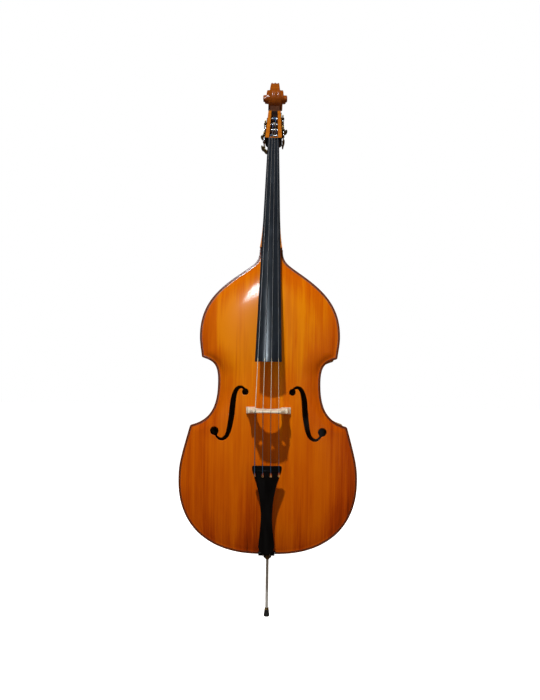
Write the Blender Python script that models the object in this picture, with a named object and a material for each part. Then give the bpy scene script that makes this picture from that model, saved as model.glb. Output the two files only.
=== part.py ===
"""Double bass, three-quarter size, as separate pieces.

Metres, +Z up, the front faces -Y. The origin is the middle of the endpin tip's underside, and the
endpin's axis is the Z axis. Pieces of the body are made in the frame of the empty body_frame, whose
origin is at the body's lowest edge. Pieces of the head are made in the frame of pegbox_frame, whose
Y axis goes into the pegbox and whose Z axis runs up its open front.
"""

import math

import bmesh
import bpy
from mathutils import Vector
from mathutils.geometry import delaunay_2d_cdt, intersect_point_line

MM = 0.001
GAP = 0.0003  # left between pieces that touch

# Body
BODY_FOOT = 0.268  # height of the body's lowest edge
BODY_LENGTH = 1.127
PLATE_FRONT = -0.105  # outer face of the top plate at its edge
PLATE_BACK = 0.105  # outer face of the back plate at its edge
BACK_TAPER = 0.055  # how far the back comes forward at the neck
BEND_HEIGHT = 0.80  # where the back starts to come forward
PLATE_THICKNESS = 0.007
RIB_THICKNESS = 0.003
OVERHANG = 0.006  # of the plates past the ribs
ARCH_HEIGHT = 0.030
EDGE_BLEND = 0.030  # width of the flat, hollowed margin
LINING_WIDTH = 0.007
LINING_DEPTH = 0.020
WAIST_HEIGHT = 0.637
WAIST_HALF_WIDTH = 0.1896
ARCH_BOUTS = (0.440, 0.760)  # between these heights the arching passes the corners
ARCH_CORNERS = (0.300, 0.2571)  # its half width at those two heights
OUTLINE_SPACING = 0.021  # between points along the body's edge
RIB_SPACING = 0.003  # between the sections that a rib is picked from
GRID_SPACING = 0.048  # between points inside a plate
GRID_MARGIN = 0.030
MARGIN_RING = 0.016  # how far inside the edge a plate has one more row of points
SADDLE_HALF_WIDTH = 0.0300
SADDLE_HEIGHT = 0.0140
SADDLE_FRONT = -0.1285
BUTTON_HALF_WIDTH = 0.026
BUTTON_HEIGHT = 0.036
TENON_LOW = (-0.020, -0.060, -0.040)  # corners of the neck's tenon, from the body's top edge
TENON_HIGH = (0.020, 0.012, 0.006)
MORTISE_ROOM = 0.0005
NECK_BLOCK = (0.033, 0.058, 0.112)  # half width at the top and below, and height
END_BLOCK = (0.060, 0.045)  # half width, height
CORNER_REACH = 0.058  # size of a corner block
BAR_FOOT = 0.20
BAR_LENGTH = 0.72
BAR_MIDDLE = (-0.050, -0.036)  # how far aside it is at its foot and at its head
BAR_HALF_WIDTH = 0.010
BAR_DEPTH = 0.026  # added at its middle to the depth of its ends
BAR_END_DEPTH = 0.007
BAR_CLEARANCE = 0.0009
SOUND_POST = (0.042, 0.512)  # across, and up from the body's lowest edge
SOUND_POST_RADIUS = 0.009
SOUND_POST_CLEARANCE = 0.0008

# Outline of the body's right half, in millimetres: across, and up from the lowest edge.
# Each row is one Bezier curve: start, two handles, end.
UPPER_BOUT = (
    ((42.6, 1127), (42.6, 1077), (63.5, 1071.7), (126.6, 1027)),
    ((126.6, 1027), (214.8, 964.5), (259.6, 905), (259.6, 804.7)),
    ((259.6, 804.7), (259.6, 780), (254, 752), (251, 728)),
)
WAIST = (
    ((247, 724.5), (208, 712), (189.6, 702), (189.6, 636.8)),
    ((189.6, 636.8), (189.6, 560), (205, 497), (285, 476)),
)
LOWER_BOUT = (
    ((291, 472), (327.8, 342.8), (331, 321), (331, 272)),
    ((331, 272), (331, 239), (329.6, 143), (251.9, 72.3)),
    ((251.9, 72.3), (166, -3), (60, 0), (0, 0)),
)
# Centre line of the right sound hole, its width at each point, and the two round ends.
SOUND_HOLE_PATH = (
    (86, 600, 5), (93, 613.5, 6), (107, 617, 8), (121, 604, 12), (130, 570, 16), (134, 524, 18),
    (140, 480, 16), (151, 440, 12), (171, 425.5, 8), (188, 434, 6), (198, 455, 6),
)
UPPER_EYE_RADIUS = 11
LOWER_EYE_RADIUS = 15

# Bridge: its right edge below the crown, in millimetres across and above the feet
BRIDGE_SIDE = (
    (49, 147.5), (49.5, 141), (52, 130), (57, 118), (61.5, 106), (62.5, 96), (60, 88),
    (54.5, 83), (52.5, 79.5), (55, 76.8), (60, 78.5), (67, 81), (70.5, 78), (70.8, 70),
    (70, 55), (70.8, 40), (73, 25), (77, 14), (81, 8.5),
)
BRIDGE_CROWN = (0.0133, 0.027, 0.040, 0.0465)  # places across the crown
BRIDGE_FEET = (0.081, 0.072, 0.063, 0.054, 0.047)  # places across a foot
BRIDGE_LEG = (0.0452, 0.020)  # inner side of a leg
BRIDGE_ARCH = (0, 33, 45)  # centre and radius of the round opening between the legs
BRIDGE_HEART = ((0, 106), (7.5, 115), (8.5, 121), (5, 125), (0, 121.5))
KIDNEY = (41, 103, 8, 11.5)  # centre and half sizes

# Bridge, strings and fingerboard
BRIDGE_HEIGHT = 0.533  # above the body's lowest edge
BRIDGE_TOP = -0.2985  # how far forward its crown is
BRIDGE_FOOT_THICKNESS = 0.025
BRIDGE_TOP_THICKNESS = 0.006
CROWN_RADIUS = 0.090  # of the bridge, the fingerboard and the nut
BOARD_END = 0.9735
BOARD_END_Y = -0.2485
BOARD_END_HALF_WIDTH = 0.047
BOARD_THICKNESS = 0.014
BOARD_NUT_STEP = 0.0010  # from the nut's front down to the fingerboard's
NUT_HEIGHT = 1.8235
NUT_LENGTH = 0.007
NUT_Y = -0.0570
NUT_HALF_WIDTH = 0.02125
STRINGS = (
    # name, radius, across at the tailpiece, bridge, nut and post, post's place in MACHINES
    ("string_e", 0.0013, -0.0427, -0.0400, -0.0155, -0.0080, 0),
    ("string_a", 0.00105, -0.0142, -0.0133, -0.0052, -0.0040, 1),
    ("string_d", 0.00085, 0.0142, 0.0133, 0.0052, 0.0040, 3),
    ("string_g", 0.0007, 0.0427, 0.0400, 0.0155, 0.0080, 2),
)

# Tailpiece
TAIL_TOP = 0.609
TAIL_TOP_Y = -0.232
TAIL_END = 0.2795
TAIL_END_Y = -0.152
TAIL_THICKNESS = 0.022
TAIL_END_THICKNESS = 0.015
TAIL_CROWN = 0.095
# Half width of the tailpiece down its length: height, half width
TAIL_WIDTHS = (
    (0.609, 0.0510), (0.603, 0.0525), (0.585, 0.0500), (0.550, 0.0390), (0.500, 0.0270),
    (0.4345, 0.0205), (0.380, 0.0225), (0.3138, 0.0290), (0.295, 0.0260), (0.284, 0.0180),
    (0.2795, 0.0080),
)
SLOT_HEIGHT = 0.572
SLOT_RADIUS = 0.0042
SLOT_HALF_WIDTH = 0.0022
SLOT_LENGTH = 0.012
RIDGE_DROP = 0.017  # from the tailpiece's top to the ridge that the strings leave
RIDGE_LIFT = 0.0022
CABLE_RADIUS = 0.0012
CABLE_HALF_GAP = 0.0115  # between the cable's runs, halved
CABLE_HOOK = 0.306  # height where the cable leaves the tailpiece

# Endpin
ROD_RADIUS = 0.00525
ROD_TOP = 0.450
ROD_FOOT = 0.011
TIP_HEIGHT = 0.026
PLUG_FOOT = 0.2405
PLUG_TOP = 0.318
PLUG_RADIUS = 0.0150
PLUG_GROOVE = 0.2697  # height of the groove that the tail cable lies in
PLUG_GROOVE_RADIUS = 0.0120
PLUG_HOLE = 0.0165
COLLAR_FOOT = 0.221
COLLAR_RADIUS = 0.0088
THUMBSCREW_HEIGHT = 0.2525
THUMBSCREW_STEM = 0.0028
FERRULE_TOP = 0.0335
SLIDING_GAP = 0.0005

# Head: the pegbox tilts back from the neck's line
HEAD_ANGLE = math.radians(30)
HEAD_ORIGIN = (0.0, -0.052, 1.8315)
PEGBOX_LENGTH = 0.190
PEGBOX_DEPTH = 0.044
CHEEK_AT_NUT = 0.032  # outer half width
CHEEK_TAPER = 0.0088  # lost along the pegbox
CAVITY_AT_NUT = 0.017  # inner half width
CAVITY_TAPER = 0.0059
PEGBOX_SIDE = (  # its side view: how deep, and how far up
    (0.0, 0.0), (PEGBOX_DEPTH, -0.002), (0.046, 0.040), (0.044, 0.110), (0.040, 0.160),
    (0.038, 0.190), (0.042, 0.206), (0.010, 0.206), (0.007, 0.192), (0.002, 0.174), (0.0, 0.162),
)
CAVITY_SIDE = (
    (-0.010, 0.002), (0.006, 0.006), (0.034, 0.016), (0.032, 0.154), (0.020, 0.160),
    (-0.010, 0.163),
)
SCROLL_CENTRE = (0.012, 0.256)  # deep, and up the pegbox
SCROLL_RADIUS = 0.060
SCROLL_TURNS = (-0.38, 0.54)  # the part of the spiral that its side view shows
SCROLL_LAYERS = ((0.032, 0.0315), (0.0125, 0.047))  # radius and half width of the raised turns
SCROLL_HALF_WIDTH = 0.022

# Sections of the neck: height, half width, how far back, roundness of the back
NECK_SECTIONS = (
    (BODY_FOOT + BODY_LENGTH + GAP, 0.0410, 0.0425, 3.0),
    (1.402, 0.0400, 0.0425, 3.0), (1.412, 0.0385, 0.0405, 2.8), (1.424, 0.0370, 0.0290, 2.6),
    (1.438, 0.0355, 0.0060, 2.4), (1.452, 0.0342, -0.0240, 2.3), (1.468, 0.0332, -0.0500, 2.2),
    (1.490, 0.0320, -0.0700, 2.1), (1.530, 0.0303, -0.0810, 2.0), (1.640, 0.0270, -0.0560, 2.0),
    (1.760, 0.0233, -0.0300, 2.0), (1.8310, 0.0212, -0.0135, 2.0),
)
NECK_SIDE = 0.004  # height of the neck's straight sides, under the fingerboard

# Tuning machines: side, place up the pegbox
MACHINES = ((-1, 0.038), (-1, 0.106), (1, 0.072), (1, 0.140))
MACHINE_NAMES = ("e", "a", "g", "d")
POST_DEPTH = 0.020
POST_RADIUS = 0.0055
WINDING_RADIUS = 0.0078
GEAR_RADIUS = 0.015
GEAR_TEETH = 20
GEAR_THICKNESS = 0.006
TOOTH_DEPTH = 0.0022
WORM_RADIUS = 0.0034
WORM_DISTANCE = GEAR_RADIUS + WORM_RADIUS + 0.0004
JOURNAL_RADIUS = 0.0026
MACHINE_PLATE = 0.002
GEAR_OFFSET = 0.0072  # of the gear's middle from the cheek
POST_REACH = 0.0085  # of a post's hole into the far cheek
HUB_RADIUS = 0.0038
KEY_DEPTH = 0.0548
KEY_HALF_THICKNESS = 0.0021
# A key's right half, in millimetres from its axis and from the key's foot
KEY_SIDE = ((3, 4), (9, 7), (17, 5), (20.5, 9), (21, 16), (18, 24), (11, 27), (4, 25))
KEY_DIP = 0.0235  # height of the dip between its two wings
KEY_ANGLES = (53, 20, 100, 150)  # how far each key is turned at rest


def clear_scene():
    for leftover in list(bpy.data.objects):
        bpy.data.objects.remove(leftover)


def make_material(name, colour, roughness, metallic=0.0):
    material = bpy.data.materials.new(name)
    material.use_nodes = True
    shader = material.node_tree.nodes["Principled BSDF"]
    shader.inputs["Base Color"].default_value = (*colour, 1.0)
    shader.inputs["Roughness"].default_value = roughness
    shader.inputs["Metallic"].default_value = metallic
    material.diffuse_color = (*colour, 1.0)
    return material


def make_empty(name, location, rotation=(0.0, 0.0, 0.0), parent=None):
    empty = bpy.data.objects.new(name, None)
    empty.location = location
    empty.rotation_euler = rotation
    empty.parent = parent
    empty.empty_display_size = 0.05
    bpy.context.collection.objects.link(empty)
    return empty


def make_object(name, points, faces, material, parent=None, location=(0, 0, 0), smooth=30):
    """One object from points and faces, with its faces turned outwards."""
    mesh = bpy.data.meshes.new(name)
    mesh.from_pydata([tuple(point) for point in points], [], faces)
    solid = bmesh.new()
    solid.from_mesh(mesh)
    bmesh.ops.recalc_face_normals(solid, faces=solid.faces)
    solid.to_mesh(mesh)
    solid.free()
    mesh.shade_smooth()
    mesh.set_sharp_from_angle(angle=math.radians(smooth))
    mesh.materials.append(material)
    made = bpy.data.objects.new(name, mesh)
    made.location = location
    made.parent = parent
    bpy.context.collection.objects.link(made)
    return made


def combine(target, other, operation):
    """A Boolean of target with other, which is kept as a hidden helper."""
    modifier = target.modifiers.new(operation.lower(), "BOOLEAN")
    modifier.operation = operation
    modifier.object = other
    modifier.solver = "EXACT"
    other.hide_render = True
    other.display_type = "WIRE"
    return target


def bridge_rings(count, size, closed_ends=True, around=False):
    """Faces of count rings of size points each; around joins the last ring to the first."""
    faces = []
    for ring in range(count if around else count - 1):
        here, there = ring * size, (ring + 1) % count * size
        for corner in range(size):
            after = (corner + 1) % size
            faces.append((here + corner, here + after, there + after, there + corner))
    if closed_ends and not around:
        faces.append(tuple(range(size)))
        faces.append(tuple(range((count - 1) * size, count * size)))
    return faces


def loft(name, rings, material, **place):
    points = [point for ring in rings for point in ring]
    return make_object(name, points, bridge_rings(len(rings), len(rings[0])), material, **place)


def turned(name, profile, material, axis="Z", segments=16, hollow=False, **place):
    """A body of revolution from (radius, distance along the axis) pairs."""
    points = []
    for radius, along in profile:
        for step in range(segments):
            angle = 2 * math.pi * (step + 0.5) / segments
            across, deep = radius * math.cos(angle), radius * math.sin(angle)
            if axis == "X":
                points.append((along, across, deep))
            elif axis == "Y":
                points.append((deep, along, across))
            else:
                points.append((across, deep, along))
    faces = bridge_rings(len(profile), segments, around=hollow)
    return make_object(name, points, faces, material, **place)


def box(name, low, high, material, **place):
    ring = ((0, 0), (1, 0), (1, 1), (0, 1))
    rings = [
        [((low[0], high[0])[i], (low[1], high[1])[j], height) for i, j in ring]
        for height in (low[2], high[2])
    ]
    return loft(name, rings, material, **place)


def prism(name, outline, half_width, material, **place):
    """An outline of (y, z) points, made thick to both sides of the plane x = 0.

    half_width gives the half width at a height z."""
    rings = [
        [(side * half_width(height), deep, height) for deep, height in outline] for side in (-1, 1)
    ]
    return loft(name, rings, material, **place)


def bezier(curve, steps):
    """Points along one Bezier curve, without its end."""
    start, leave, arrive, end = (Vector(point) * MM for point in curve)
    points = []
    for step in range(steps):
        t = step / steps
        s = 1 - t
        points.append(s**3 * start + 3 * s * s * t * leave + 3 * s * t * t * arrive + t**3 * end)
    return points


def bout(curves, spacing):
    """Evenly spaced points along a row of Bezier curves, with both ends."""
    fine = [point for curve in curves for point in bezier(curve, 40)]
    fine.append(Vector(curves[-1][-1]) * MM)
    reach = [0.0]
    for a, b in zip(fine, fine[1:]):
        reach.append(reach[-1] + (b - a).length)
    count = max(round(reach[-1] / spacing), 2)
    points, index = [fine[0]], 0
    for step in range(1, count):
        goal = reach[-1] * step / count
        while reach[index + 1] < goal:
            index += 1
        share = (goal - reach[index]) / (reach[index + 1] - reach[index])
        points.append(fine[index].lerp(fine[index + 1], share))
    return points + [fine[-1]]


def mirrored(points):
    return [Vector((-point.x, point.y)) for point in reversed(points)]


def inside(point, polygon):
    crossings = 0
    for a, b in zip(polygon, polygon[1:] + polygon[:1]):
        if (a.y > point.y) != (b.y > point.y):
            crossings += point.x < a.x + (point.y - a.y) / (b.y - a.y) * (b.x - a.x)
    return crossings % 2 == 1


def distance_to(point, line):
    """Distance from a point to an open line of points."""
    nearest = math.inf
    for a, b in zip(line, line[1:]):
        foot, share = intersect_point_line(point, a, b)
        foot = a if share < 0 else b if share > 1 else foot
        nearest = min(nearest, (point - foot.to_2d()).length)
    return nearest


def body_sides(spacing):
    """The right half's three bouts, from the neck to the lowest edge."""
    return [bout(UPPER_BOUT, spacing), bout(WAIST, spacing * 0.8), bout(LOWER_BOUT, spacing)]


def body_outline(spacing):
    """The whole outline, clockwise from the neck: right side down, left side up."""
    right = [point for side in body_sides(spacing) for point in side]
    return right[:-1] + mirrored(right)


FINE_SIDES = body_sides(0.010)
BODY_WALLS = FINE_SIDES + [mirrored(side) for side in FINE_SIDES]


def to_wall(point, walls=BODY_WALLS):
    return min(distance_to(point, wall) for wall in walls)


def inset(line, amount, slack=0.0002):
    """A side's points moved inwards, keeping those that stay clear of every other side."""
    moved = []
    for index, point in enumerate(line):
        before, after = line[max(index - 1, 0)], line[min(index + 1, len(line) - 1)]
        along = (after - before).normalized()
        inner = point + Vector((along.y, -along.x)) * amount
        if to_wall(inner) > amount - slack:
            moved.append(inner)
    return moved


def inset_loop(amount, spacing):
    """The whole outline moved inwards by amount, closed across the neck."""
    right = [point for side in body_sides(spacing) for point in inset(side, amount)]
    right = [point for point in right if point.x > 0.002]
    top = min(BODY_LENGTH - amount, right[0].y)
    right = [Vector((right[0].x, top))] + [point for point in right if point.y < top - 0.004]
    return right + mirrored(right)


def smooth_step(share):
    share = min(max(share, 0.0), 1.0)
    return share * share * (3 - 2 * share)


def envelope(height):
    """Half width of the arching, which passes the corners in a smooth line."""
    lower, upper = ARCH_BOUTS
    if height < lower or height > upper:
        side = FINE_SIDES[2] if height < lower else FINE_SIDES[0]
        for a, b in zip(side, side[1:]):
            if b.y <= height <= a.y:
                return b.x + (a.x - b.x) * (height - b.y) / max(a.y - b.y, 1e-9)
        return side[0].x if height > side[0].y else 0.0
    below = height < WAIST_HEIGHT
    edge = ARCH_CORNERS[0] if below else ARCH_CORNERS[1]
    reach = WAIST_HEIGHT - lower if below else upper - WAIST_HEIGHT
    share = smooth_step((abs(height - WAIST_HEIGHT) / reach - 0.15) / 0.85)
    return WAIST_HALF_WIDTH + (edge - WAIST_HALF_WIDTH) * share


def arch(across, height):
    """How far a plate swells out above its edge."""
    wide = envelope(height)
    if wide <= abs(across):
        return 0.0
    along = abs(2 * height / BODY_LENGTH - 1)
    level = (1 - (across / wide) ** 2) * (1 - along**4)
    swell = math.sin(math.pi / 2 * min(max(level, 0.0), 1.0)) ** 1.4
    return ARCH_HEIGHT * swell * smooth_step(to_wall(Vector((across, height))) / EDGE_BLEND)


def back_edge(height):
    """How far back the back plate's outer edge is."""
    share = max(height - BEND_HEIGHT, 0.0) / (BODY_LENGTH - BEND_HEIGHT)
    return PLATE_BACK - BACK_TAPER * min(share, 1.0) ** 1.5


def top_outside(across, height):
    return PLATE_FRONT - arch(across, height)


def top_inside(across, height):
    return top_outside(across, height) + PLATE_THICKNESS


def back_outside(across, height):
    return back_edge(height) + arch(across, height)


def back_inside(across, height):
    return back_outside(across, height) - PLATE_THICKNESS


def slab(name, outline, holes, near, far, material, extra=(), to_space=None, **place):
    """A sheet between two surfaces, with an outline and holes drawn in a plane.

    near and far give the sheet's depth at a point of the plane, and extra points make it finer."""
    to_space = to_space or (lambda u, v, depth: (u, depth, v))
    flat, edges = [], []
    for line in [outline, *holes]:
        first = len(flat)
        flat += line
        edges += [(first + i, first + (i + 1) % len(line)) for i in range(len(line))]
    made = delaunay_2d_cdt([*flat, *extra], edges, [], 1, 1e-7)
    spots, triangles = made[0], made[2]
    kept = []
    for triangle in triangles:
        middle = sum((spots[i] for i in triangle), Vector((0, 0))) / len(triangle)
        if inside(middle, outline) and not any(inside(middle, hole) for hole in holes):
            kept.append(tuple(triangle))
    used = sorted({i for triangle in kept for i in triangle})
    place_of = {spot: index for index, spot in enumerate(used)}
    kept = [tuple(place_of[i] for i in triangle) for triangle in kept]
    spots = [spots[i] for i in used]
    points = [to_space(p.x, p.y, near(p.x, p.y)) for p in spots]
    points += [to_space(p.x, p.y, far(p.x, p.y)) for p in spots]
    count = len(spots)
    faces = kept + [tuple(count + i for i in reversed(triangle)) for triangle in kept]
    directed = {(t[i], t[(i + 1) % len(t)]) for t in kept for i in range(len(t))}
    for a, b in directed:
        if (b, a) not in directed:
            faces.append((b, a, count + a, count + b))
    return make_object(name, points, faces, material, **place)


def flat_piece(name, outline, holes, near, far, material, **place):
    """A slab between the levels near and far."""
    return slab(name, outline, holes, lambda x, z: near, lambda x, z: far, material, **place)


def smooth_line(points, steps):
    """Points on a curve through the given ones, steps to each stretch."""
    found = []
    last = len(points) - 1
    for index in range(last):
        before, a = points[max(index - 1, 0)], points[index]
        b, after = points[index + 1], points[min(index + 2, last)]
        for step in range(steps):
            t = step / steps
            bend = 2 * before - 5 * a + 4 * b - after
            twist = 3 * a - before - 3 * b + after
            found.append(a + 0.5 * (t * (b - before) + t * t * bend + t**3 * twist))
    return found + [points[-1]]


def clockwise(centre, radius, start, end, steps):
    """Points of an arc from the direction of start round to that of end, without either."""
    first = math.atan2(*(start - centre).yx)
    sweep = (first - math.atan2(*(end - centre).yx)) % (2 * math.pi)
    angles = [first - sweep * step / steps for step in range(1, steps)]
    return [centre + Vector((math.cos(angle), math.sin(angle))) * radius for angle in angles]


def sound_hole(steps=2, arc_steps=10):
    """The right sound hole's outline: an S of changing width between two round eyes."""
    path = smooth_line([Vector(spot) * MM for spot in SOUND_HOLE_PATH], steps)
    upper, lower = path[0].to_2d(), path[-1].to_2d()
    upper_radius, lower_radius = UPPER_EYE_RADIUS * MM, LOWER_EYE_RADIUS * MM
    left, right = [], []
    for before, spot, after in zip(path, path[1:], path[2:]):
        centre = spot.to_2d()
        if min((centre - upper).length - upper_radius, (centre - lower).length - lower_radius) < 0:
            continue
        along = (after - before).to_2d().normalized()
        aside = Vector((-along.y, along.x)) * spot.z / 2
        left.append(centre + aside)
        right.append(centre - aside)
    outline = left + clockwise(lower, lower_radius, left[-1], right[-1], arc_steps)
    outline += reversed(right)
    return outline + clockwise(upper, upper_radius, right[0], left[0], arc_steps)


def grid_inside(outline, holes, spacing, margin):
    """Points spread over the inside of an outline, clear of its edges."""
    found = []
    for row in range(1, int(BODY_LENGTH / spacing) + 1):
        for column in range(-8, 9):
            spot = Vector(((column + 0.5 * (row % 2)) * spacing, row * spacing))
            if not inside(spot, outline) or to_wall(spot) < margin:
                continue
            if all(distance_to(spot, hole + hole[:1]) > margin / 2 for hole in holes):
                if not any(inside(spot, hole) for hole in holes):
                    found.append(spot)
    return found


def with_notch(outline):
    """The outline with the saddle's notch in its lowest edge."""
    half = SADDLE_HALF_WIDTH
    low = [index for index, p in enumerate(outline) if abs(p.x) < half + 0.002 and p.y < 0.05]
    kept = [point for index, point in enumerate(outline) if index not in low]
    notch = [(half, 0.0004), (half, SADDLE_HEIGHT), (-half, SADDLE_HEIGHT), (-half, 0.0004)]
    return kept[: low[0]] + [Vector(point) for point in notch] + kept[low[0] :]


def with_button(outline):
    """The outline with the round button that backs the neck's heel."""
    steps = 8
    button = []
    for step in range(steps + 1):
        angle = math.pi * (1 - step / steps)
        rise = BUTTON_HEIGHT * math.sin(angle) ** 0.8 if 0 < step < steps else 0.0
        button.append(Vector((BUTTON_HALF_WIDTH * math.cos(angle), BODY_LENGTH + rise)))
    return outline + button


def make_plates(body, spruce, maple):
    outline = body_outline(OUTLINE_SPACING)
    ring = inset_loop(MARGIN_RING, OUTLINE_SPACING * 1.2)
    hole = sound_hole()
    holes = [hole, mirrored(hole)]
    spots = grid_inside(outline, holes, GRID_SPACING, GRID_MARGIN)
    ring_by_holes = [p for p in ring if all(distance_to(p, h) > 0.012 for h in holes)]
    slab(
        "top_plate", with_notch(outline), holes, top_outside, top_inside, spruce,
        extra=spots + ring_by_holes, parent=body,
    )
    spots = grid_inside(outline, [], GRID_SPACING, GRID_MARGIN)
    slab(
        "back_plate", with_button(outline), [], back_outside, back_inside, maple,
        extra=spots + ring, parent=body,
    )


def rib_section(line, index, side):
    """One section of a rib at a point of the body's edge, or None where ribs would meet."""
    own_side = min(FINE_SIDES, key=lambda wall: distance_to(line[index], wall))
    other_sides = [wall for wall in FINE_SIDES if wall is not own_side]
    before, after = line[max(index - 1, 0)], line[min(index + 1, len(line) - 1)]
    along = (after - before).normalized()
    inward = Vector((along.y, -along.x))
    near, deep = (line[index] + inward * amount for amount in (OVERHANG, OVERHANG + RIB_THICKNESS))
    if to_wall(deep, other_sides) < OVERHANG + RIB_THICKNESS + GAP or deep.x < PLUG_HOLE + 0.002:
        return None
    front = PLATE_FRONT + PLATE_THICKNESS + GAP
    back = [back_edge(spot.y) - PLATE_THICKNESS - GAP for spot in (near, deep)]
    return [
        (side * near.x, front, near.y), (side * near.x, back[0], near.y),
        (side * deep.x, back[1], deep.y), (side * deep.x, front, deep.y),
    ]


def make_ribs(body, maple):
    for part, line in zip(("upper", "waist", "lower"), body_sides(RIB_SPACING)):
        for side_name, side in (("right", 1), ("left", -1)):
            rings = [rib_section(line, index, side) for index in range(1, len(line) - 1)]
            rings = [ring for ring in rings if ring]
            count = round(len(rings) * RIB_SPACING / OUTLINE_SPACING)
            rings = [rings[round(step * (len(rings) - 1) / count)] for step in range(count + 1)]
            loft(f"rib_{part}_{side_name}", rings, maple, parent=body)


def make_linings(body, willow):
    outline = inset_loop(OVERHANG + RIB_THICKNESS + 2 * GAP, OUTLINE_SPACING)
    hole = inset_loop(OVERHANG + RIB_THICKNESS + 2 * GAP + LINING_WIDTH, OUTLINE_SPACING)
    front = PLATE_FRONT + PLATE_THICKNESS + GAP
    flat_piece("top_lining", outline, [hole], front, front + LINING_DEPTH, willow, parent=body)
    back_face = PLATE_THICKNESS + GAP
    slab(
        "back_lining", outline, [hole],
        lambda x, z: back_edge(z) - back_face - LINING_DEPTH,
        lambda x, z: back_edge(z) - back_face,
        willow, parent=body,
    )


def make_blocks(body, spruce):
    loop = inset_loop(OVERHANG + RIB_THICKNESS + 2 * GAP, OUTLINE_SPACING)
    right = loop[: len(loop) // 2]
    front = PLATE_FRONT + PLATE_THICKNESS + 2 * GAP + LINING_DEPTH

    def block(name, outline):
        return slab(
            name, outline, [], lambda x, z: front,
            lambda x, z: back_edge(z) - PLATE_THICKNESS - 2 * GAP - LINING_DEPTH,
            spruce, parent=body,
        )

    corners = (("upper", Vector(UPPER_BOUT[-1][-1]) * MM), ("lower", Vector(WAIST[-1][-1]) * MM))
    for name, corner in corners:
        near = [point for point in right if (point - corner).length < CORNER_REACH]
        block(f"corner_block_{name}_right", near)
        block(f"corner_block_{name}_left", mirrored(near))

    top_width, width, height = NECK_BLOCK
    shoulder = [
        Vector((min(point.x, width), point.y))
        for point in right if BODY_LENGTH - height < point.y < BODY_LENGTH - 0.012
    ]
    side = [Vector((top_width, BODY_LENGTH - GAP)), *shoulder]
    neck_block = block("neck_block", side + mirrored(side))
    combine(neck_block, tenon("mortise_cutter", MORTISE_ROOM, spruce, body), "DIFFERENCE")

    half, top = END_BLOCK
    side = [Vector((half, top))]
    side += [point for point in right if point.x < half and point.y < top - 0.005]
    end_block = block("end_block", side + mirrored(side))
    hole = turned(
        "plug_hole_cutter", ((PLUG_HOLE, -0.05), (PLUG_HOLE, 0.10)), spruce, segments=24,
        parent=body,
    )
    combine(end_block, hole, "DIFFERENCE")


def tenon(name, extra, material, body):
    """The neck's tenon, or with extra its mortise."""
    low = [value - extra for value in TENON_LOW]
    high = [value + extra for value in TENON_HIGH[:2]]
    low[2] += BODY_LENGTH
    high.append(BODY_LENGTH + TENON_HIGH[2])
    return box(name, low, high, material, parent=body)


def make_bass_bar(body, spruce):
    rings, steps = [], 12
    for step in range(steps + 1):
        share = step / steps
        height = BAR_FOOT + BAR_LENGTH * share
        middle = BAR_MIDDLE[0] + (BAR_MIDDLE[1] - BAR_MIDDLE[0]) * share
        edges = (middle - BAR_HALF_WIDTH, middle + BAR_HALF_WIDTH)
        top = max(top_inside(across, height) for across in edges) + BAR_CLEARANCE
        swell = math.sin(math.pi * share) ** 0.7 if 0 < share < 1 else 0.0
        deep = top + BAR_END_DEPTH + BAR_DEPTH * swell
        rings.append([
            (edges[0], top, height), (edges[1], top, height),
            (edges[1], deep, height), (edges[0], deep, height),
        ])
    loft("bass_bar", rings, spruce, parent=body)


def make_sound_post(body, spruce):
    across, height = SOUND_POST
    rings, segments = [[], []], 14
    for step in range(segments):
        angle = 2 * math.pi * step / segments
        x = across + SOUND_POST_RADIUS * math.cos(angle)
        z = height + SOUND_POST_RADIUS * math.sin(angle)
        rings[0].append((x, top_inside(x, z) + SOUND_POST_CLEARANCE, z))
        rings[1].append((x, back_inside(x, z) - SOUND_POST_CLEARANCE, z))
    loft("sound_post", rings, spruce, parent=body)


def crown_drop(across, radius=CROWN_RADIUS):
    return radius - math.sqrt(radius * radius - across * across)


def make_bridge(body, maple):
    base = PLATE_FRONT - ARCH_HEIGHT
    half_foot = BRIDGE_FOOT_THICKNESS / 2

    def crown(across):
        return Vector((across, base - BRIDGE_TOP - crown_drop(across)))

    def foot(across):
        reach = (-half_foot, 0, half_foot)
        return Vector((across, base + 0.0007 - min(
            top_outside(across, BRIDGE_HEIGHT + step) for step in reach
        )))

    side = [crown(across) for across in BRIDGE_CROWN]
    side += [Vector(point) * MM for point in BRIDGE_SIDE]
    side += [foot(across) for across in BRIDGE_FEET]
    side.append(Vector(BRIDGE_LEG))
    for degrees in (0, 20, 40, 60, 80):
        angle = math.radians(degrees)
        x, z, radius = (value * MM for value in BRIDGE_ARCH)
        side.append(Vector((x + radius * math.cos(angle), z + radius * math.sin(angle))))
    outline = [crown(0.0), *side, *mirrored(side)]
    kidney = []
    for step in range(12):
        angle = math.pi * step / 6
        x, z, wide, tall = KIDNEY
        kidney.append(Vector((x + wide * math.cos(angle), z + tall * math.sin(angle))) * MM)
    heart = [Vector(point) * MM for point in BRIDGE_HEART]
    heart += mirrored(heart[1:-1])

    def half_thickness(height):
        share = height / (base - BRIDGE_TOP)
        return (BRIDGE_FOOT_THICKNESS * (1 - share) + BRIDGE_TOP_THICKNESS * share) / 2

    slab(
        "bridge", outline, [kidney, mirrored(kidney), heart],
        lambda x, z: -half_thickness(z), lambda x, z: half_thickness(z), maple,
        to_space=lambda u, v, depth: (u, base - v, BRIDGE_HEIGHT + depth), parent=body,
    )


def board_top(height):
    """How far forward the middle of the fingerboard is."""
    share = (height - BOARD_END) / (NUT_HEIGHT - BOARD_END)
    nut_end = NUT_Y + BOARD_NUT_STEP
    return BOARD_END_Y + (nut_end - BOARD_END_Y) * share


def board_half_width(height):
    share = (height - BOARD_END) / (NUT_HEIGHT - BOARD_END)
    return BOARD_END_HALF_WIDTH + (NUT_HALF_WIDTH - BOARD_END_HALF_WIDTH) * share


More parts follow.
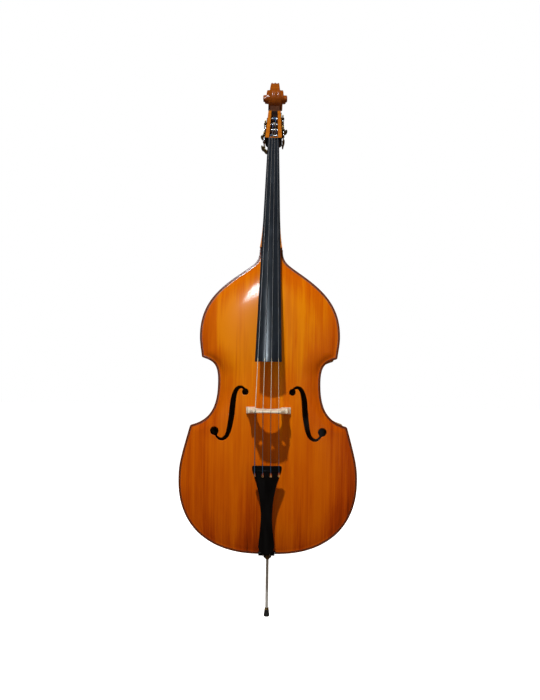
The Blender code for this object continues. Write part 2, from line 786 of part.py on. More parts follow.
def crowned_ring(half_width, front, back, height, radius=CROWN_RADIUS, steps=6):
    """A section at one height: a round front, sides and a flat back."""
    ring = []
    for step in range(steps + 1):
        across = half_width * (2 * step / steps - 1)
        ring.append((across, front + crown_drop(across, radius), height))
    return ring + [(half_width * 0.98, back, height), (-half_width * 0.98, back, height)]


def make_fingerboard(ebony):
    rings = []
    for height in (BOARD_END, NUT_HEIGHT):
        top = board_top(height)
        rings.append(crowned_ring(board_half_width(height), top, top + BOARD_THICKNESS, height))
    loft("fingerboard", rings, ebony)
    under = board_top(NUT_HEIGHT) + BOARD_THICKNESS
    rings = [
        crowned_ring(NUT_HALF_WIDTH, NUT_Y, under, height)
        for height in (NUT_HEIGHT + GAP, NUT_HEIGHT + GAP + NUT_LENGTH)
    ]
    loft("nut", rings, ebony)


def make_neck(head, body, maple):
    rings = []
    for height, half_width, back, roundness in NECK_SECTIONS:
        front = board_top(height) + BOARD_THICKNESS + GAP
        ring, steps = [], 12
        for step in range(steps + 1):
            angle = math.pi * step / steps
            across, deep = math.cos(angle), math.sin(angle)
            across = math.copysign(abs(across) ** (2 / roundness), across)
            side = front + NECK_SIDE
            ring.append((half_width * across, side + (back - side) * deep ** (2 / roundness), height))
        ring += [(-half_width, front, height), (half_width, front, height)]
        rings.append(ring)
    neck = loft("neck", rings, maple)

    def cheek(height):
        return CHEEK_AT_NUT - CHEEK_TAPER * height / PEGBOX_LENGTH

    def cavity(height):
        return CAVITY_AT_NUT - CAVITY_TAPER * height / PEGBOX_LENGTH

    combine(neck, prism("pegbox_shape", PEGBOX_SIDE, cheek, maple, parent=head), "UNION")
    deep, up = SCROLL_CENTRE
    outline = [(0.010, 0.180), (0.036, 0.180)]
    steps = 22
    for step in range(steps + 1):
        turn = SCROLL_TURNS[0] + (SCROLL_TURNS[1] - SCROLL_TURNS[0]) * step / steps
        radius = scroll_radius(turn)
        angle = 2 * math.pi * turn + math.pi / 2
        outline.append((deep + radius * math.cos(angle), up + radius * math.sin(angle)))
    scroll = prism("scroll_shape", outline, lambda z: SCROLL_HALF_WIDTH, maple, parent=head)
    combine(neck, scroll, "UNION")
    for index, (radius, half_width) in enumerate(SCROLL_LAYERS):
        layer = turned(
            f"scroll_turn_{index + 1}", ((radius, -half_width), (radius, half_width)), maple,
            axis="X", segments=20, parent=head, location=(0, deep, up),
        )
        combine(neck, layer, "UNION")
    combine(neck, tenon("tenon_shape", 0.0, maple, body), "UNION")

    combine(neck, prism("cavity_cutter", CAVITY_SIDE, cavity, maple, parent=head), "DIFFERENCE")
    nut_top = NUT_HEIGHT + NUT_LENGTH + 2 * GAP
    under = board_top(NUT_HEIGHT) + BOARD_THICKNESS + GAP
    seat = box("nut_seat_cutter", (-0.05, -0.12, 1.79), (0.05, under, nut_top), maple)
    combine(neck, seat, "DIFFERENCE")
    for name, (side, up) in zip(MACHINE_NAMES, MACHINES):
        reach = sorted((-side * (cavity(up) + POST_REACH), side * 0.05))
        radius = POST_RADIUS + SLIDING_GAP
        hole = turned(
            f"post_hole_cutter_{name}", ((radius, reach[0]), (radius, reach[1])), maple,
            axis="X", parent=head, location=(0, POST_DEPTH, up),
        )
        combine(neck, hole, "DIFFERENCE")


def scroll_radius(turn):
    """Radius of the scroll's outer edge, by turns from the top of the head.

    It closes faster with every turn, and before the top it runs into the pegbox's back."""
    lean = 0.135 * turn + 0.865 * (math.hypot(turn, 0.08) - 0.08)
    return SCROLL_RADIUS * math.exp(-0.368 * lean - 0.21 * max(turn, 0.0) ** 2)


def gear_outline():
    """The wheel's toothed outline: four points to a tooth."""
    outline = []
    root = GEAR_RADIUS - TOOTH_DEPTH
    for tooth in range(GEAR_TEETH):
        for share, radius in ((-0.30, root), (-0.15, GEAR_RADIUS), (0.15, GEAR_RADIUS), (0.30, root)):
            angle = 2 * math.pi * (tooth + share) / GEAR_TEETH
            outline.append(Vector((radius * math.cos(angle), radius * math.sin(angle))))
    return outline


def make_machine(name, side, up, key_angle, head, steel, brass, bronze):
    cheek = CHEEK_AT_NUT - CHEEK_TAPER * up / PEGBOX_LENGTH
    cavity = CAVITY_AT_NUT - CAVITY_TAPER * up / PEGBOX_LENGTH
    slant = math.atan(CHEEK_TAPER / PEGBOX_LENGTH)
    gear_at = side * (cheek + GEAR_OFFSET)
    post_axis = make_empty(f"post_axis_{name}", (0, POST_DEPTH, up), parent=head)
    worm_axis = make_empty(f"worm_axis_{name}", (gear_at, 0, up - WORM_DISTANCE), parent=head)

    # The plate lies against the slanting cheek, and carries two ears for the worm's shaft.
    inner, outer = sorted((side * GAP, side * (GAP + MACHINE_PLATE)))
    plate = box(
        f"machine_plate_{name}", (inner, -0.017, -0.0295), (outer, 0.0175, 0.0195), brass,
        parent=head, location=(side * cheek, POST_DEPTH, up),
    )
    plate.rotation_euler = (0, -side * slant, 0)
    low, high = sorted((side * (GEAR_OFFSET - 0.0060), side * (GEAR_OFFSET + 0.0040)))
    for index, (near, far) in enumerate(((-0.0168, -0.0128), (0.0132, 0.0172))):
        ear = box(
            f"ear_shape_{name}_{index + 1}", (low, near, -WORM_DISTANCE - 0.0042),
            (high, far, -WORM_DISTANCE + 0.0042), brass,
            parent=head, location=(side * cheek, POST_DEPTH, up),
        )
        combine(plate, ear, "UNION")
    radius = JOURNAL_RADIUS + SLIDING_GAP
    shaft_hole = turned(
        f"worm_hole_cutter_{name}", ((radius, -0.01), (radius, 0.05)), brass, axis="Y",
        segments=12, parent=worm_axis,
    )
    combine(plate, shaft_hole, "DIFFERENCE")
    radius = POST_RADIUS + SLIDING_GAP
    post_hole = turned(
        f"plate_hole_cutter_{name}", ((radius, 0.0), (radius, side * 0.06)), brass, axis="X",
        parent=post_axis,
    )
    combine(plate, post_hole, "DIFFERENCE")

    # The post crosses the pegbox; its fat middle is the string wound round it.
    winding = next(string[5] for string in STRINGS if string[0] == f"string_{name}")
    seat = gear_at - side * (GEAR_THICKNESS / 2 + GAP)
    post = [
        (0.0035, -side * (cavity + 0.0078)), (POST_RADIUS, -side * (cavity + 0.0070)),
        (POST_RADIUS, winding - side * 0.0065), (WINDING_RADIUS, winding - side * 0.0058),
        (WINDING_RADIUS, winding + side * 0.0048), (POST_RADIUS, winding + side * 0.0055),
        (POST_RADIUS, seat), (HUB_RADIUS, seat),
        (HUB_RADIUS, gear_at + side * (GEAR_THICKNESS / 2 + GAP)),
        (0.0052, gear_at + side * (GEAR_THICKNESS / 2 + GAP)),
        (0.0046, gear_at + side * (GEAR_THICKNESS / 2 + 0.0026)),
    ]
    turned(f"post_{name}", post, steel, axis="X", segments=14, parent=post_axis)

    bore = []
    for step in range(14):
        angle = -2 * math.pi * step / 14
        bore.append(Vector((math.cos(angle), math.sin(angle))) * (HUB_RADIUS + 0.0004))
    near, far = gear_at - GEAR_THICKNESS / 2, gear_at + GEAR_THICKNESS / 2
    flat_piece(
        f"gear_{name}", gear_outline(), [bore], near, far, brass,
        to_space=lambda u, v, depth: (depth, u, v), parent=post_axis,
    )

    worm = (
        (JOURNAL_RADIUS, 0.0020), (JOURNAL_RADIUS, 0.0078), (WORM_RADIUS, 0.0080),
        (WORM_RADIUS, 0.0325), (JOURNAL_RADIUS, 0.0327), (JOURNAL_RADIUS, KEY_DEPTH - GAP),
    )
    turned(f"worm_{name}", worm, steel, axis="Y", segments=12, parent=worm_axis)

    wing = [Vector(point) * MM for point in KEY_SIDE]
    outline = wing + [Vector((0, KEY_DIP))] + mirrored(wing)
    key = flat_piece(
        f"key_{name}", outline, [], -KEY_HALF_THICKNESS, KEY_HALF_THICKNESS, bronze,
        to_space=lambda u, v, depth: (u, v, depth), parent=worm_axis, location=(0, KEY_DEPTH, 0),
    )
    key.rotation_euler = (0, math.radians(key_angle), 0)
    boss = turned(
        f"key_boss_shape_{name}", ((0.0046, 0.0), (0.0046, 0.0115), (0.0030, 0.0140)), bronze,
        axis="Y", segments=12, parent=key,
    )
    combine(key, boss, "UNION")


def from_head(across, deep, up):
    """A point of the head's frame, in the frame of the whole bass."""
    turn, lean = math.cos(HEAD_ANGLE), math.sin(HEAD_ANGLE)
    origin = HEAD_ORIGIN
    return (
        across, origin[1] + deep * turn + up * lean, origin[2] - deep * lean + up * turn,
    )


def tail_front(height):
    share = (height - TAIL_END) / (TAIL_TOP - TAIL_END)
    return TAIL_END_Y + (TAIL_TOP_Y - TAIL_END_Y) * share


def tail_back(height):
    share = (height - TAIL_END) / (TAIL_TOP - TAIL_END)
    thickness = TAIL_END_THICKNESS + (TAIL_THICKNESS - TAIL_END_THICKNESS) * share
    return tail_front(height) + thickness


def make_tube(name, points, radius, material, bevel_resolution=2):
    """A cord along straight stretches between points."""
    curve = bpy.data.curves.new(name, "CURVE")
    curve.dimensions = "3D"
    curve.bevel_depth = radius
    curve.bevel_resolution = bevel_resolution
    curve.use_fill_caps = True
    spline = curve.splines.new("POLY")
    spline.points.add(len(points) - 1)
    for spot, point in zip(spline.points, points):
        spot.co = (*point, 1.0)
    curve.materials.append(material)
    made = bpy.data.objects.new(name, curve)
    bpy.context.collection.objects.link(made)
    return made


def make_strings(steel):
    for name, radius, at_tail, at_bridge, at_nut, at_post, machine in STRINGS:
        slot = tail_front(SLOT_HEIGHT) + crown_drop(at_tail, TAIL_CROWN)
        ridge = TAIL_TOP - RIDGE_DROP
        over_ridge = tail_front(ridge) + crown_drop(at_tail, TAIL_CROWN) - RIDGE_LIFT - radius
        over_bridge = BRIDGE_TOP + crown_drop(at_bridge) - radius - GAP
        over_nut = NUT_Y + crown_drop(at_nut) - radius - GAP
        crossing = BODY_FOOT + BRIDGE_HEIGHT
        half_top = BRIDGE_TOP_THICKNESS / 2 + 0.0008
        nut_end = NUT_HEIGHT + NUT_LENGTH + 2 * GAP
        front = POST_DEPTH - WINDING_RADIUS - radius - 0.0006
        up = MACHINES[machine][1]
        points = [
            (at_tail, slot + 0.008, SLOT_HEIGHT - 0.001), (at_tail, slot + 0.001, SLOT_HEIGHT),
            (at_tail, over_ridge, ridge), (at_bridge, over_bridge, crossing - half_top),
            (at_bridge, over_bridge, crossing + half_top), (at_nut, over_nut, NUT_HEIGHT - 0.001),
            (at_nut, over_nut, nut_end), from_head(at_post, front, up - 0.004),
        ]
        make_tube(name, points, radius, steel)


def make_tailpiece(ebony, steel):
    rings = []
    for height, half_width in TAIL_WIDTHS:
        front, back = tail_front(height), tail_back(height)
        ring = crowned_ring(half_width, front, back, height, radius=TAIL_CROWN)
        ring[-2:] = [(half_width * 0.86, back, height), (-half_width * 0.86, back, height)]
        rings.append(ring)
    tailpiece = loft("tailpiece", rings, ebony)
    for index, string in enumerate(STRINGS):
        slot = box(
            f"slot_cutter_{index + 1}",
            (-SLOT_HALF_WIDTH, -0.05, -SLOT_RADIUS), (SLOT_HALF_WIDTH, 0.05, SLOT_LENGTH), ebony,
            location=(string[2], tail_front(SLOT_HEIGHT), SLOT_HEIGHT),
        )
        hole = turned(
            f"slot_end_cutter_{index + 1}", ((SLOT_RADIUS, -0.05), (SLOT_RADIUS, 0.05)), ebony,
            axis="Y", segments=12, location=(string[2], tail_front(SLOT_HEIGHT), SLOT_HEIGHT),
        )
        combine(tailpiece, slot, "DIFFERENCE")
        combine(tailpiece, hole, "DIFFERENCE")

    # The tail cable: down behind the tailpiece, round the saddle's edge and the plug, and back.
    half_gap = CABLE_HALF_GAP
    behind = tail_back(CABLE_HOOK) + CABLE_RADIUS + GAP
    front = SADDLE_FRONT - CABLE_RADIUS - GAP
    under = BODY_FOOT - CABLE_RADIUS - 2 * GAP
    loop = PLUG_GROOVE_RADIUS + CABLE_RADIUS + GAP
    side = [
        (half_gap, behind, CABLE_HOOK), (half_gap, max(behind, front), 0.290),
        (half_gap + 0.0005, front, 0.280), (half_gap + 0.001, front, 0.2690),
        (half_gap + 0.001, front + 0.0012, under + 0.0002), (half_gap + 0.0012, front + 0.0032, under),
        (half_gap + 0.0015, PLATE_FRONT + PLATE_THICKNESS + 0.002, under),
        (loop, -0.012, PLUG_GROOVE), (loop, 0.0, PLUG_GROOVE),
    ]
    turn = []
    for step in range(1, 8):
        angle = math.pi * step / 8
        turn.append((loop * math.cos(angle), loop * math.sin(angle), PLUG_GROOVE))
    back = [(-x, y, z) for x, y, z in reversed(side)]
    make_tube("tail_cable", side + turn + back, CABLE_RADIUS, steel)


def make_saddle(body, ebony):
    half, bevel, edge = SADDLE_HALF_WIDTH - GAP, 0.004, 0.002
    back = PLATE_FRONT + PLATE_THICKNESS - GAP
    profile = [
        (SADDLE_FRONT + bevel, SADDLE_HEIGHT - GAP), (back, SADDLE_HEIGHT - GAP), (back, GAP),
        (SADDLE_FRONT + edge, GAP), (SADDLE_FRONT, edge), (SADDLE_FRONT, SADDLE_HEIGHT - bevel),
    ]
    prism("saddle", profile, lambda height: half, ebony, parent=body)


def make_endpin(black, brass, steel, rubber):
    axis = make_empty("endpin_axis", (0, 0, 0))
    bore = ROD_RADIUS + SLIDING_GAP
    flange_top = BODY_FOOT + OVERHANG - GAP
    groove = (PLUG_GROOVE - 0.0022, PLUG_GROOVE + 0.0022)
    plug = turned("endpin_plug", (
        (bore, PLUG_TOP), (0.0145, PLUG_TOP), (0.0158, flange_top + 0.002),
        (PLUG_GROOVE_RADIUS, groove[1]), (PLUG_GROOVE_RADIUS, groove[0]),
        (PLUG_RADIUS, groove[0] - 0.001), (PLUG_RADIUS, PLUG_FOOT + 0.003),
        (PLUG_RADIUS - 0.002, PLUG_FOOT), (bore, PLUG_FOOT),
    ), black, segments=20, hollow=True, smooth=40)
    turned("endpin_collar", (
        (bore, PLUG_FOOT - GAP), (COLLAR_RADIUS, PLUG_FOOT - GAP),
        (COLLAR_RADIUS, COLLAR_FOOT + 0.0035),
        (COLLAR_RADIUS - 0.0012, COLLAR_FOOT), (bore, COLLAR_FOOT),
    ), brass, segments=20, hollow=True, smooth=40)
    screw_axis = make_empty("thumbscrew_axis", (0, 0, THUMBSCREW_HEIGHT), parent=axis)
    stem = THUMBSCREW_STEM
    hole = turned(
        "screw_hole_cutter", ((stem + SLIDING_GAP, -0.03), (stem + SLIDING_GAP, 0.0)), black,
        axis="X", segments=12, parent=screw_axis,
    )
    combine(plug, hole, "DIFFERENCE")
    turned("thumbscrew", (
        (stem, -ROD_RADIUS - 0.0006), (stem, -0.0185), (0.0078, -0.0190), (0.0094, -0.0215),
        (0.0094, -0.0325), (0.0075, -0.0350),
    ), black, axis="X", segments=16, parent=screw_axis, smooth=40)
    turned("endpin_rod", (
        (ROD_RADIUS - 0.001, ROD_FOOT), (ROD_RADIUS, ROD_FOOT + 0.001),
        (ROD_RADIUS, ROD_TOP - 0.002), (ROD_RADIUS - 0.002, ROD_TOP),
    ), steel, segments=16, parent=axis, smooth=40)
    socket = ROD_RADIUS + GAP
    turned("endpin_ferrule", (
        (socket, TIP_HEIGHT + GAP), (socket, FERRULE_TOP), (0.0068, FERRULE_TOP),
        (0.0080, FERRULE_TOP - 0.0015),
        (0.0080, TIP_HEIGHT + GAP),
    ), brass, segments=20, hollow=True, parent=axis)
    turned("endpin_tip", (
        (socket, ROD_FOOT - 0.0005), (socket, TIP_HEIGHT), (0.0085, TIP_HEIGHT),
        (0.0112, 0.006), (0.0108, 0.0025), (0.0090, 0.0),
    ), rubber, segments=20, parent=axis)


def main():
    clear_scene()
    spruce = make_material("top_spruce", (0.52, 0.20, 0.03), 0.3)
    maple = make_material("varnished_maple", (0.42, 0.13, 0.02), 0.3)
    plain_wood = make_material("plain_wood", (0.62, 0.45, 0.25), 0.7)
    bridge_wood = make_material("bridge_maple", (0.75, 0.58, 0.36), 0.5)
    ebony = make_material("ebony", (0.012, 0.011, 0.012), 0.35)
    steel = make_material("steel", (0.55, 0.55, 0.55), 0.3, 1.0)
    brass = make_material("brass", (0.55, 0.40, 0.16), 0.35, 1.0)
    bronze = make_material("aged_brass", (0.32, 0.26, 0.14), 0.45, 1.0)
    rubber = make_material("rubber", (0.01, 0.01, 0.01), 0.7)
    body = make_empty("body_frame", (0, 0, BODY_FOOT))
    head = make_empty("pegbox_frame", HEAD_ORIGIN, (-HEAD_ANGLE, 0, 0))
    make_plates(body, spruce, maple)
    make_ribs(body, maple)
    make_linings(body, plain_wood)
    make_blocks(body, plain_wood)
    make_bass_bar(body, plain_wood)
    make_sound_post(body, plain_wood)
    make_bridge(body, bridge_wood)
    make_saddle(body, ebony)
    make_fingerboard(ebony)
    make_neck(head, body, maple)
    make_strings(steel)
    make_tailpiece(ebony, steel)
    make_endpin(ebony, brass, steel, rubber)
    for name, (side, up), key_angle in zip(MACHINE_NAMES, MACHINES, KEY_ANGLES):
        make_machine(name, side, up, key_angle, head, steel, brass, bronze)


main()
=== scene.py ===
"""Double bass: carved plates, head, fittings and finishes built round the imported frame.

Metres, +Z up, the front faces -Y. The body's plates are drawn in a plane, across and up from the
body's lowest edge, and the head is drawn in the tilted frame of its pegbox, as across, deep, up.
"""

import math

import bmesh
import bpy
import numpy as np
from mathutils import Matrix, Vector
from mathutils.geometry import delaunay_2d_cdt


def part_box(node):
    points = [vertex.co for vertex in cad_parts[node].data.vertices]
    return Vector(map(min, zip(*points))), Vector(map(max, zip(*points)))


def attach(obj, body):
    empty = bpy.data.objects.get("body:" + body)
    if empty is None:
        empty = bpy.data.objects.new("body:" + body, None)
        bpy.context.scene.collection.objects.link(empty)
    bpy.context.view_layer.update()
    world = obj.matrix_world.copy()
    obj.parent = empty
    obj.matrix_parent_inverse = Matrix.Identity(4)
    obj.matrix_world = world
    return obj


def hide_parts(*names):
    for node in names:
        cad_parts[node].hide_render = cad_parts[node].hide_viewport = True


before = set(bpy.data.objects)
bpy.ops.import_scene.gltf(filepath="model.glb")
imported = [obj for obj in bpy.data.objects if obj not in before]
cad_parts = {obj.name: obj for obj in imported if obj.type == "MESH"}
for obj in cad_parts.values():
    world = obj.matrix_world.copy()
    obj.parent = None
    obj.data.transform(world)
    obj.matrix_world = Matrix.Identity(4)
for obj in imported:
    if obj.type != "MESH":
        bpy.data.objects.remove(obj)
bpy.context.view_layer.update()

MM = 0.001
TURN = 2 * math.pi

# ---------------------------------------------------------------- sizes of the body
PLATE_THICKNESS = 0.007
PLATE_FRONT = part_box("rib_upper_left")[0].y - PLATE_THICKNESS - 0.0003
RIB_FRONT = PLATE_FRONT + PLATE_THICKNESS
PLATE_BACK = 0.105
BODY_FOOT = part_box("saddle")[0].z - 0.0003
BODY_LENGTH = 1.127
BACK_TAPER = 0.055
BEND_HEIGHT = 0.80
OVERHANG = 0.006
RIB_THICKNESS = 0.003
ARCH_HEIGHT = 0.030
EDGE_BLEND = 0.030
EDGE_ROUND = 0.0026  # radius of the plates' rounded edges
HOLE_ROUND = 0.0008
CHANNEL = (0.0120, 0.0050, 0.0009)  # place, width and depth of the hollow along the edge
PURFLING = (0.0060, 0.0082)  # the inlaid line's two borders, from the edge
WAIST_HEIGHT = 0.637
WAIST_HALF_WIDTH = 0.1896
ARCH_BOUTS = (0.440, 0.760)
ARCH_CORNERS = (0.300, 0.2571)
GRID = 0.0085  # between points inside a plate
SADDLE_NOTCH = (0.0300, 0.0140)  # half width and height
BUTTON = (0.026, 0.036)  # half width and rise of the round end behind the heel
STRIP_HALF_WIDTH = 0.0186  # of the strip let in between the lower ribs

# The right half's outline in millimetres, one Bezier curve to a row
UPPER_BOUT = (
    ((42.6, 1127), (42.6, 1077), (63.5, 1071.7), (126.6, 1027)),
    ((126.6, 1027), (214.8, 964.5), (259.6, 905), (259.6, 804.7)),
    ((259.6, 804.7), (259.6, 780), (254, 752), (251, 728)),
)
WAIST = (
    ((247, 724.5), (208, 712), (189.6, 702), (189.6, 636.8)),
    ((189.6, 636.8), (189.6, 560), (205, 497), (285, 476)),
)
LOWER_BOUT = (
    ((291, 472), (327.8, 342.8), (331, 321), (331, 272)),
    ((331, 272), (331, 239), (329.6, 143), (251.9, 72.3)),
    ((251.9, 72.3), (166, -3), (60, 0), (0, 0)),
)
# Centre line of the right sound hole with its width at each point
SOUND_HOLE_PATH = (
    (86, 600, 7), (93, 613.5, 8.5), (107, 617, 11), (121, 604, 16), (130, 570, 20), (134, 524, 20.5),
    (140, 480, 19), (151, 440, 15), (171, 425.5, 10.5), (188, 434, 8), (198, 455, 7),
)
HOLE_EYES = (0.0120, 0.0158)
NICK_HEIGHT = 0.517  # of the notches beside the bridge
NICK = 0.0036

# ---------------------------------------------------------------- strings and what they cross
CROWN_RADIUS = 0.090
BRIDGE_HEIGHT = 0.533
BRIDGE_TOP = -0.2985
BRIDGE_THICKNESS = (0.025, 0.006)  # at the feet and at the crown
BOARD_END, NUT_HEIGHT = (corner.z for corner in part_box("fingerboard"))
BOARD_END_Y = -0.2485
BOARD_HALF_WIDTHS = (0.047, 0.02125)
BOARD_THICKNESS = 0.014
NUT_Y = -0.0570
STRINGS = (
    # letter, radius, then across at the tailpiece, bridge, nut and post, and the post's height
    ("e", 0.0013, -0.0427, -0.0400, -0.0155, -0.0080, 0.038),
    ("a", 0.00105, -0.0142, -0.0133, -0.0052, -0.0040, 0.106),
    ("d", 0.00085, 0.0142, 0.0133, 0.0052, 0.0040, 0.140),
    ("g", 0.0007, 0.0427, 0.0400, 0.0155, 0.0080, 0.072),
)
SILK_FOOT = 0.628  # how far up the silk of the tailpiece's end reaches
TAIL_TOP = 0.609
TAIL_TOP_Y = -0.232
TAIL_END = 0.2795
TAIL_END_Y = -0.152
TAIL_THICKNESS = (0.015, 0.022)
TAIL_CROWN = 0.095
TAIL_WIDTHS = (
    (0.609, 0.0495), (0.606, 0.0515), (0.602, 0.0525), (0.585, 0.0500), (0.550, 0.0390),
    (0.500, 0.0270), (0.4345, 0.0205), (0.380, 0.0225), (0.3138, 0.0290), (0.300, 0.0280),
    (0.289, 0.0225), (0.283, 0.0165), (0.2795, 0.0080),
)
SLOT_HEIGHT = 0.572
RIDGE_HEIGHT = 0.592
RIDGE_HALF_WIDTH = 0.0492

# ---------------------------------------------------------------- head
HEAD_ANGLE = math.radians(30)
HEAD_ORIGIN = (0.0, -0.052, 1.8315)
SCROLL_CENTRE = (0.012, 0.256)
SCROLL_RADIUS = 0.060
EYE_RADIUS = 0.0125
# Each machine's side, place along the pegbox and angle of its key
MACHINES = {"e": (-1, 0.038, 53), "a": (-1, 0.106, 20), "g": (1, 0.072, 100), "d": (1, 0.140, 150)}
POST_DEPTH = 0.020
POST_RADIUS = 0.0055
CHEEK = (0.032, 0.0088 / 0.190)  # half width at the nut, and how much it loses per metre
CAVITY = (0.017, 0.0059 / 0.190)


# ================================================================ numbers and lines
def smooth_step(share):
    share = np.clip(share, 0.0, 1.0)
    return share * share * (3 - 2 * share)


def on_line(at, start, end, first, last):
    """The value at a place on the straight line from first, at start, to last, at end."""
    return first + (last - first) * ((at - start) / (end - start))


def unit(vectors):
    return vectors / np.maximum(np.linalg.norm(vectors, axis=1), 1e-9)[:, None]


def circle(angles, radius=1.0):
    return radius * np.stack([np.cos(angles), np.sin(angles)], axis=1)


def full_turn(count):
    return TURN * np.arange(count) / count


def aside_of(line, around=False):
    """Square to a line at each of its points, to the right of its direction."""
    ahead = np.roll(line, -1, axis=0) - np.roll(line, 1, axis=0) if around else np.gradient(line, axis=0)
    along = unit(ahead)
    return np.stack([along[:, 1], -along[:, 0]], axis=1)


def reach_along(line):
    """How far along a line each of its points is."""
    return np.concatenate([[0], np.cumsum(np.linalg.norm(np.diff(line, axis=0), axis=1))])


def bezier(curve, steps=60):
    """Points along one Bezier curve, without its end."""
    start, leave, arrive, end = (np.array(point) * MM for point in curve)
    t = (np.arange(steps) / steps)[:, None]
    s = 1 - t
    return s**3 * start + 3 * s * s * t * leave + 3 * s * t * t * arrive + t**3 * end


def resampled(line, spacing):
    """Evenly spaced points along a line, with both ends."""
    reach = reach_along(line)
    goals = np.linspace(0, reach[-1], max(round(reach[-1] / spacing), 2) + 1)
    return np.stack([np.interp(goals, reach, line[:, k]) for k in range(line.shape[1])], axis=1)


def bout(curves, spacing=0.003):
    fine = [bezier(curve) for curve in curves]
    return resampled(np.vstack([*fine, np.array(curves[-1][-1]) * MM]), spacing)


def mirrored(line):
    return line[::-1] * np.array([-1.0, 1.0])


def closed(line):
    return np.vstack([line, line[:1]])


def smooth_line(points, steps):
    """Points on a curve through the given ones (Catmull-Rom), steps to each stretch."""
    points = np.asarray(points, float)
    padded = np.vstack([points[0], points, points[-1]])
    t = (np.arange(steps) / steps)[:, None]
    found = []
    for before, a, b, after in zip(padded, padded[1:], padded[2:], padded[3:]):
        bend = 2 * before - 5 * a + 4 * b - after
        twist = 3 * a - before - 3 * b + after
        found.append(a + 0.5 * (t * (b - before) + t * t * bend + t**3 * twist))
    return np.vstack([*found, points[-1:]])


def bent(before, here, after, radius, steps):
    """Points round one corner of a line, which take its sharpness away."""
    back, on = before - here, after - here
    lengths = np.linalg.norm(back), np.linalg.norm(on)
    size = min(radius, min(lengths) * 0.45)
    start, end = here + back / lengths[0] * size, here + on / lengths[1] * size
    t = (np.arange(steps + 1) / steps)[:, None]
    return (1 - t) ** 2 * start + 2 * t * (1 - t) * here + t * t * end


def smooth_profile(points, radius, steps=3):
    """A closed outline with its corners rounded off."""
    points = np.asarray(points, float)
    corners = zip(np.roll(points, 1, axis=0), points, np.roll(points, -1, axis=0))
    return np.vstack([bent(*corner, radius, steps) for corner in corners])


def rounded_path(points, radius, steps=8):
    """A path with each bend turned into a short curve."""
    points = np.asarray(points, float)
    bends = [bent(*corner, radius, steps) for corner in zip(points, points[1:], points[2:])]
    return np.vstack([points[0], *bends, points[-1]])


def inside(points, polygon):
    x, y = points[:, :1], points[:, 1:]
    a, b = polygon, np.roll(polygon, -1, axis=0)
    rise = np.where(a[:, 1] == b[:, 1], 1.0, b[:, 1] - a[:, 1])
    crosses = (a[:, 1] > y) != (b[:, 1] > y)
    at = a[:, 0] + (y - a[:, 1]) / rise * (b[:, 0] - a[:, 0])
    return np.sum(crosses & (x < at), axis=1) % 2 == 1


def distance_to(points, lines):
    """Distance of each point to the nearest of some open lines."""
    starts = np.concatenate([line[:-1] for line in lines])
    along = np.concatenate([line[1:] for line in lines]) - starts
    square = np.maximum((along**2).sum(1), 1e-18)
    found = []
    for some in np.array_split(points, len(points) // 3000 + 1):
        offset = some[:, None] - starts
        share = np.clip((offset * along).sum(2) / square, 0, 1)
        found.append(((offset - share[..., None] * along) ** 2).sum(2).min(1) ** 0.5)
    return np.concatenate(found)


# The right half's three bouts, from the neck to the lowest edge, and both halves'
SIDES = [bout(curves) for curves in (UPPER_BOUT, WAIST, LOWER_BOUT)]
WALLS = SIDES + [mirrored(side) for side in SIDES]


def body_outline():
    right = np.vstack(SIDES)
    return np.vstack([right[:-1], mirrored(right)])


def inset_loop(amount):
    """The whole outline moved inwards, closed across the neck and mitred at the corners."""
    kept = []
    for side in SIDES:
        inner = side + aside_of(side) * amount
        clear = distance_to(inner, WALLS) > amount - 0.0001
        kept.append(inner[clear & (inner[:, 0] > 0.001)])
    right = np.vstack(kept)
    top = BODY_LENGTH - amount
    right = np.vstack([[[right[0, 0], top]], right[right[:, 1] < top - 0.002]])
    return np.vstack([right, mirrored(right)])


def envelope(height):
    """Half width of the arching, which passes the corners in a smooth line."""
    lower, upper = ARCH_BOUTS
    foot, head = SIDES[2][::-1], SIDES[0][::-1]
    by_foot = np.interp(height, foot[:, 1], foot[:, 0])
    by_head = np.interp(height, head[:, 1], head[:, 0])
    below = height < WAIST_HEIGHT
    edge = np.where(below, *ARCH_CORNERS)
    reach = np.where(below, WAIST_HEIGHT - lower, upper - WAIST_HEIGHT)
    share = smooth_step((np.abs(height - WAIST_HEIGHT) / reach - 0.15) / 0.85)
    middle = WAIST_HALF_WIDTH + (edge - WAIST_HALF_WIDTH) * share
    return np.where(height < lower, by_foot, np.where(height > upper, by_head, middle))


def arch(points, edge=None):
    """How far a plate swells out above its edge."""
    edge = distance_to(points, WALLS) if edge is None else edge
    across, height = points[:, 0], points[:, 1]
    wide = np.maximum(envelope(height), 1e-6)
    along = np.abs(2 * height / BODY_LENGTH - 1)
    level = np.clip((1 - (across / wide) ** 2) * (1 - along**4), 0, 1)
    return ARCH_HEIGHT * np.sin(math.pi / 2 * level) ** 1.4 * smooth_step(edge / EDGE_BLEND)


def back_edge(height):
    share = np.clip((height - BEND_HEIGHT) / (BODY_LENGTH - BEND_HEIGHT), 0, 1)
    return PLATE_BACK - BACK_TAPER * share**1.5


def round_off(distance, radius):
    """How far a rounded edge has dropped at a distance from its side."""
    left = radius - np.clip(distance, 0, radius)
    return radius - np.sqrt(radius * radius - left * left)


def crown_drop(across, radius=CROWN_RADIUS):
    return radius - np.sqrt(radius * radius - np.asarray(across) ** 2)


def from_head(points):
    """Points of the pegbox's frame, in the frame of the whole bass."""
    points = np.asarray(points, float)
    turn, lean = math.cos(HEAD_ANGLE), math.sin(HEAD_ANGLE)
    across, deep, up = points[..., 0], points[..., 1], points[..., 2]
    return np.stack([
        across, HEAD_ORIGIN[1] + deep * turn + up * lean,
        HEAD_ORIGIN[2] - deep * lean + up * turn,
    ], axis=-1)


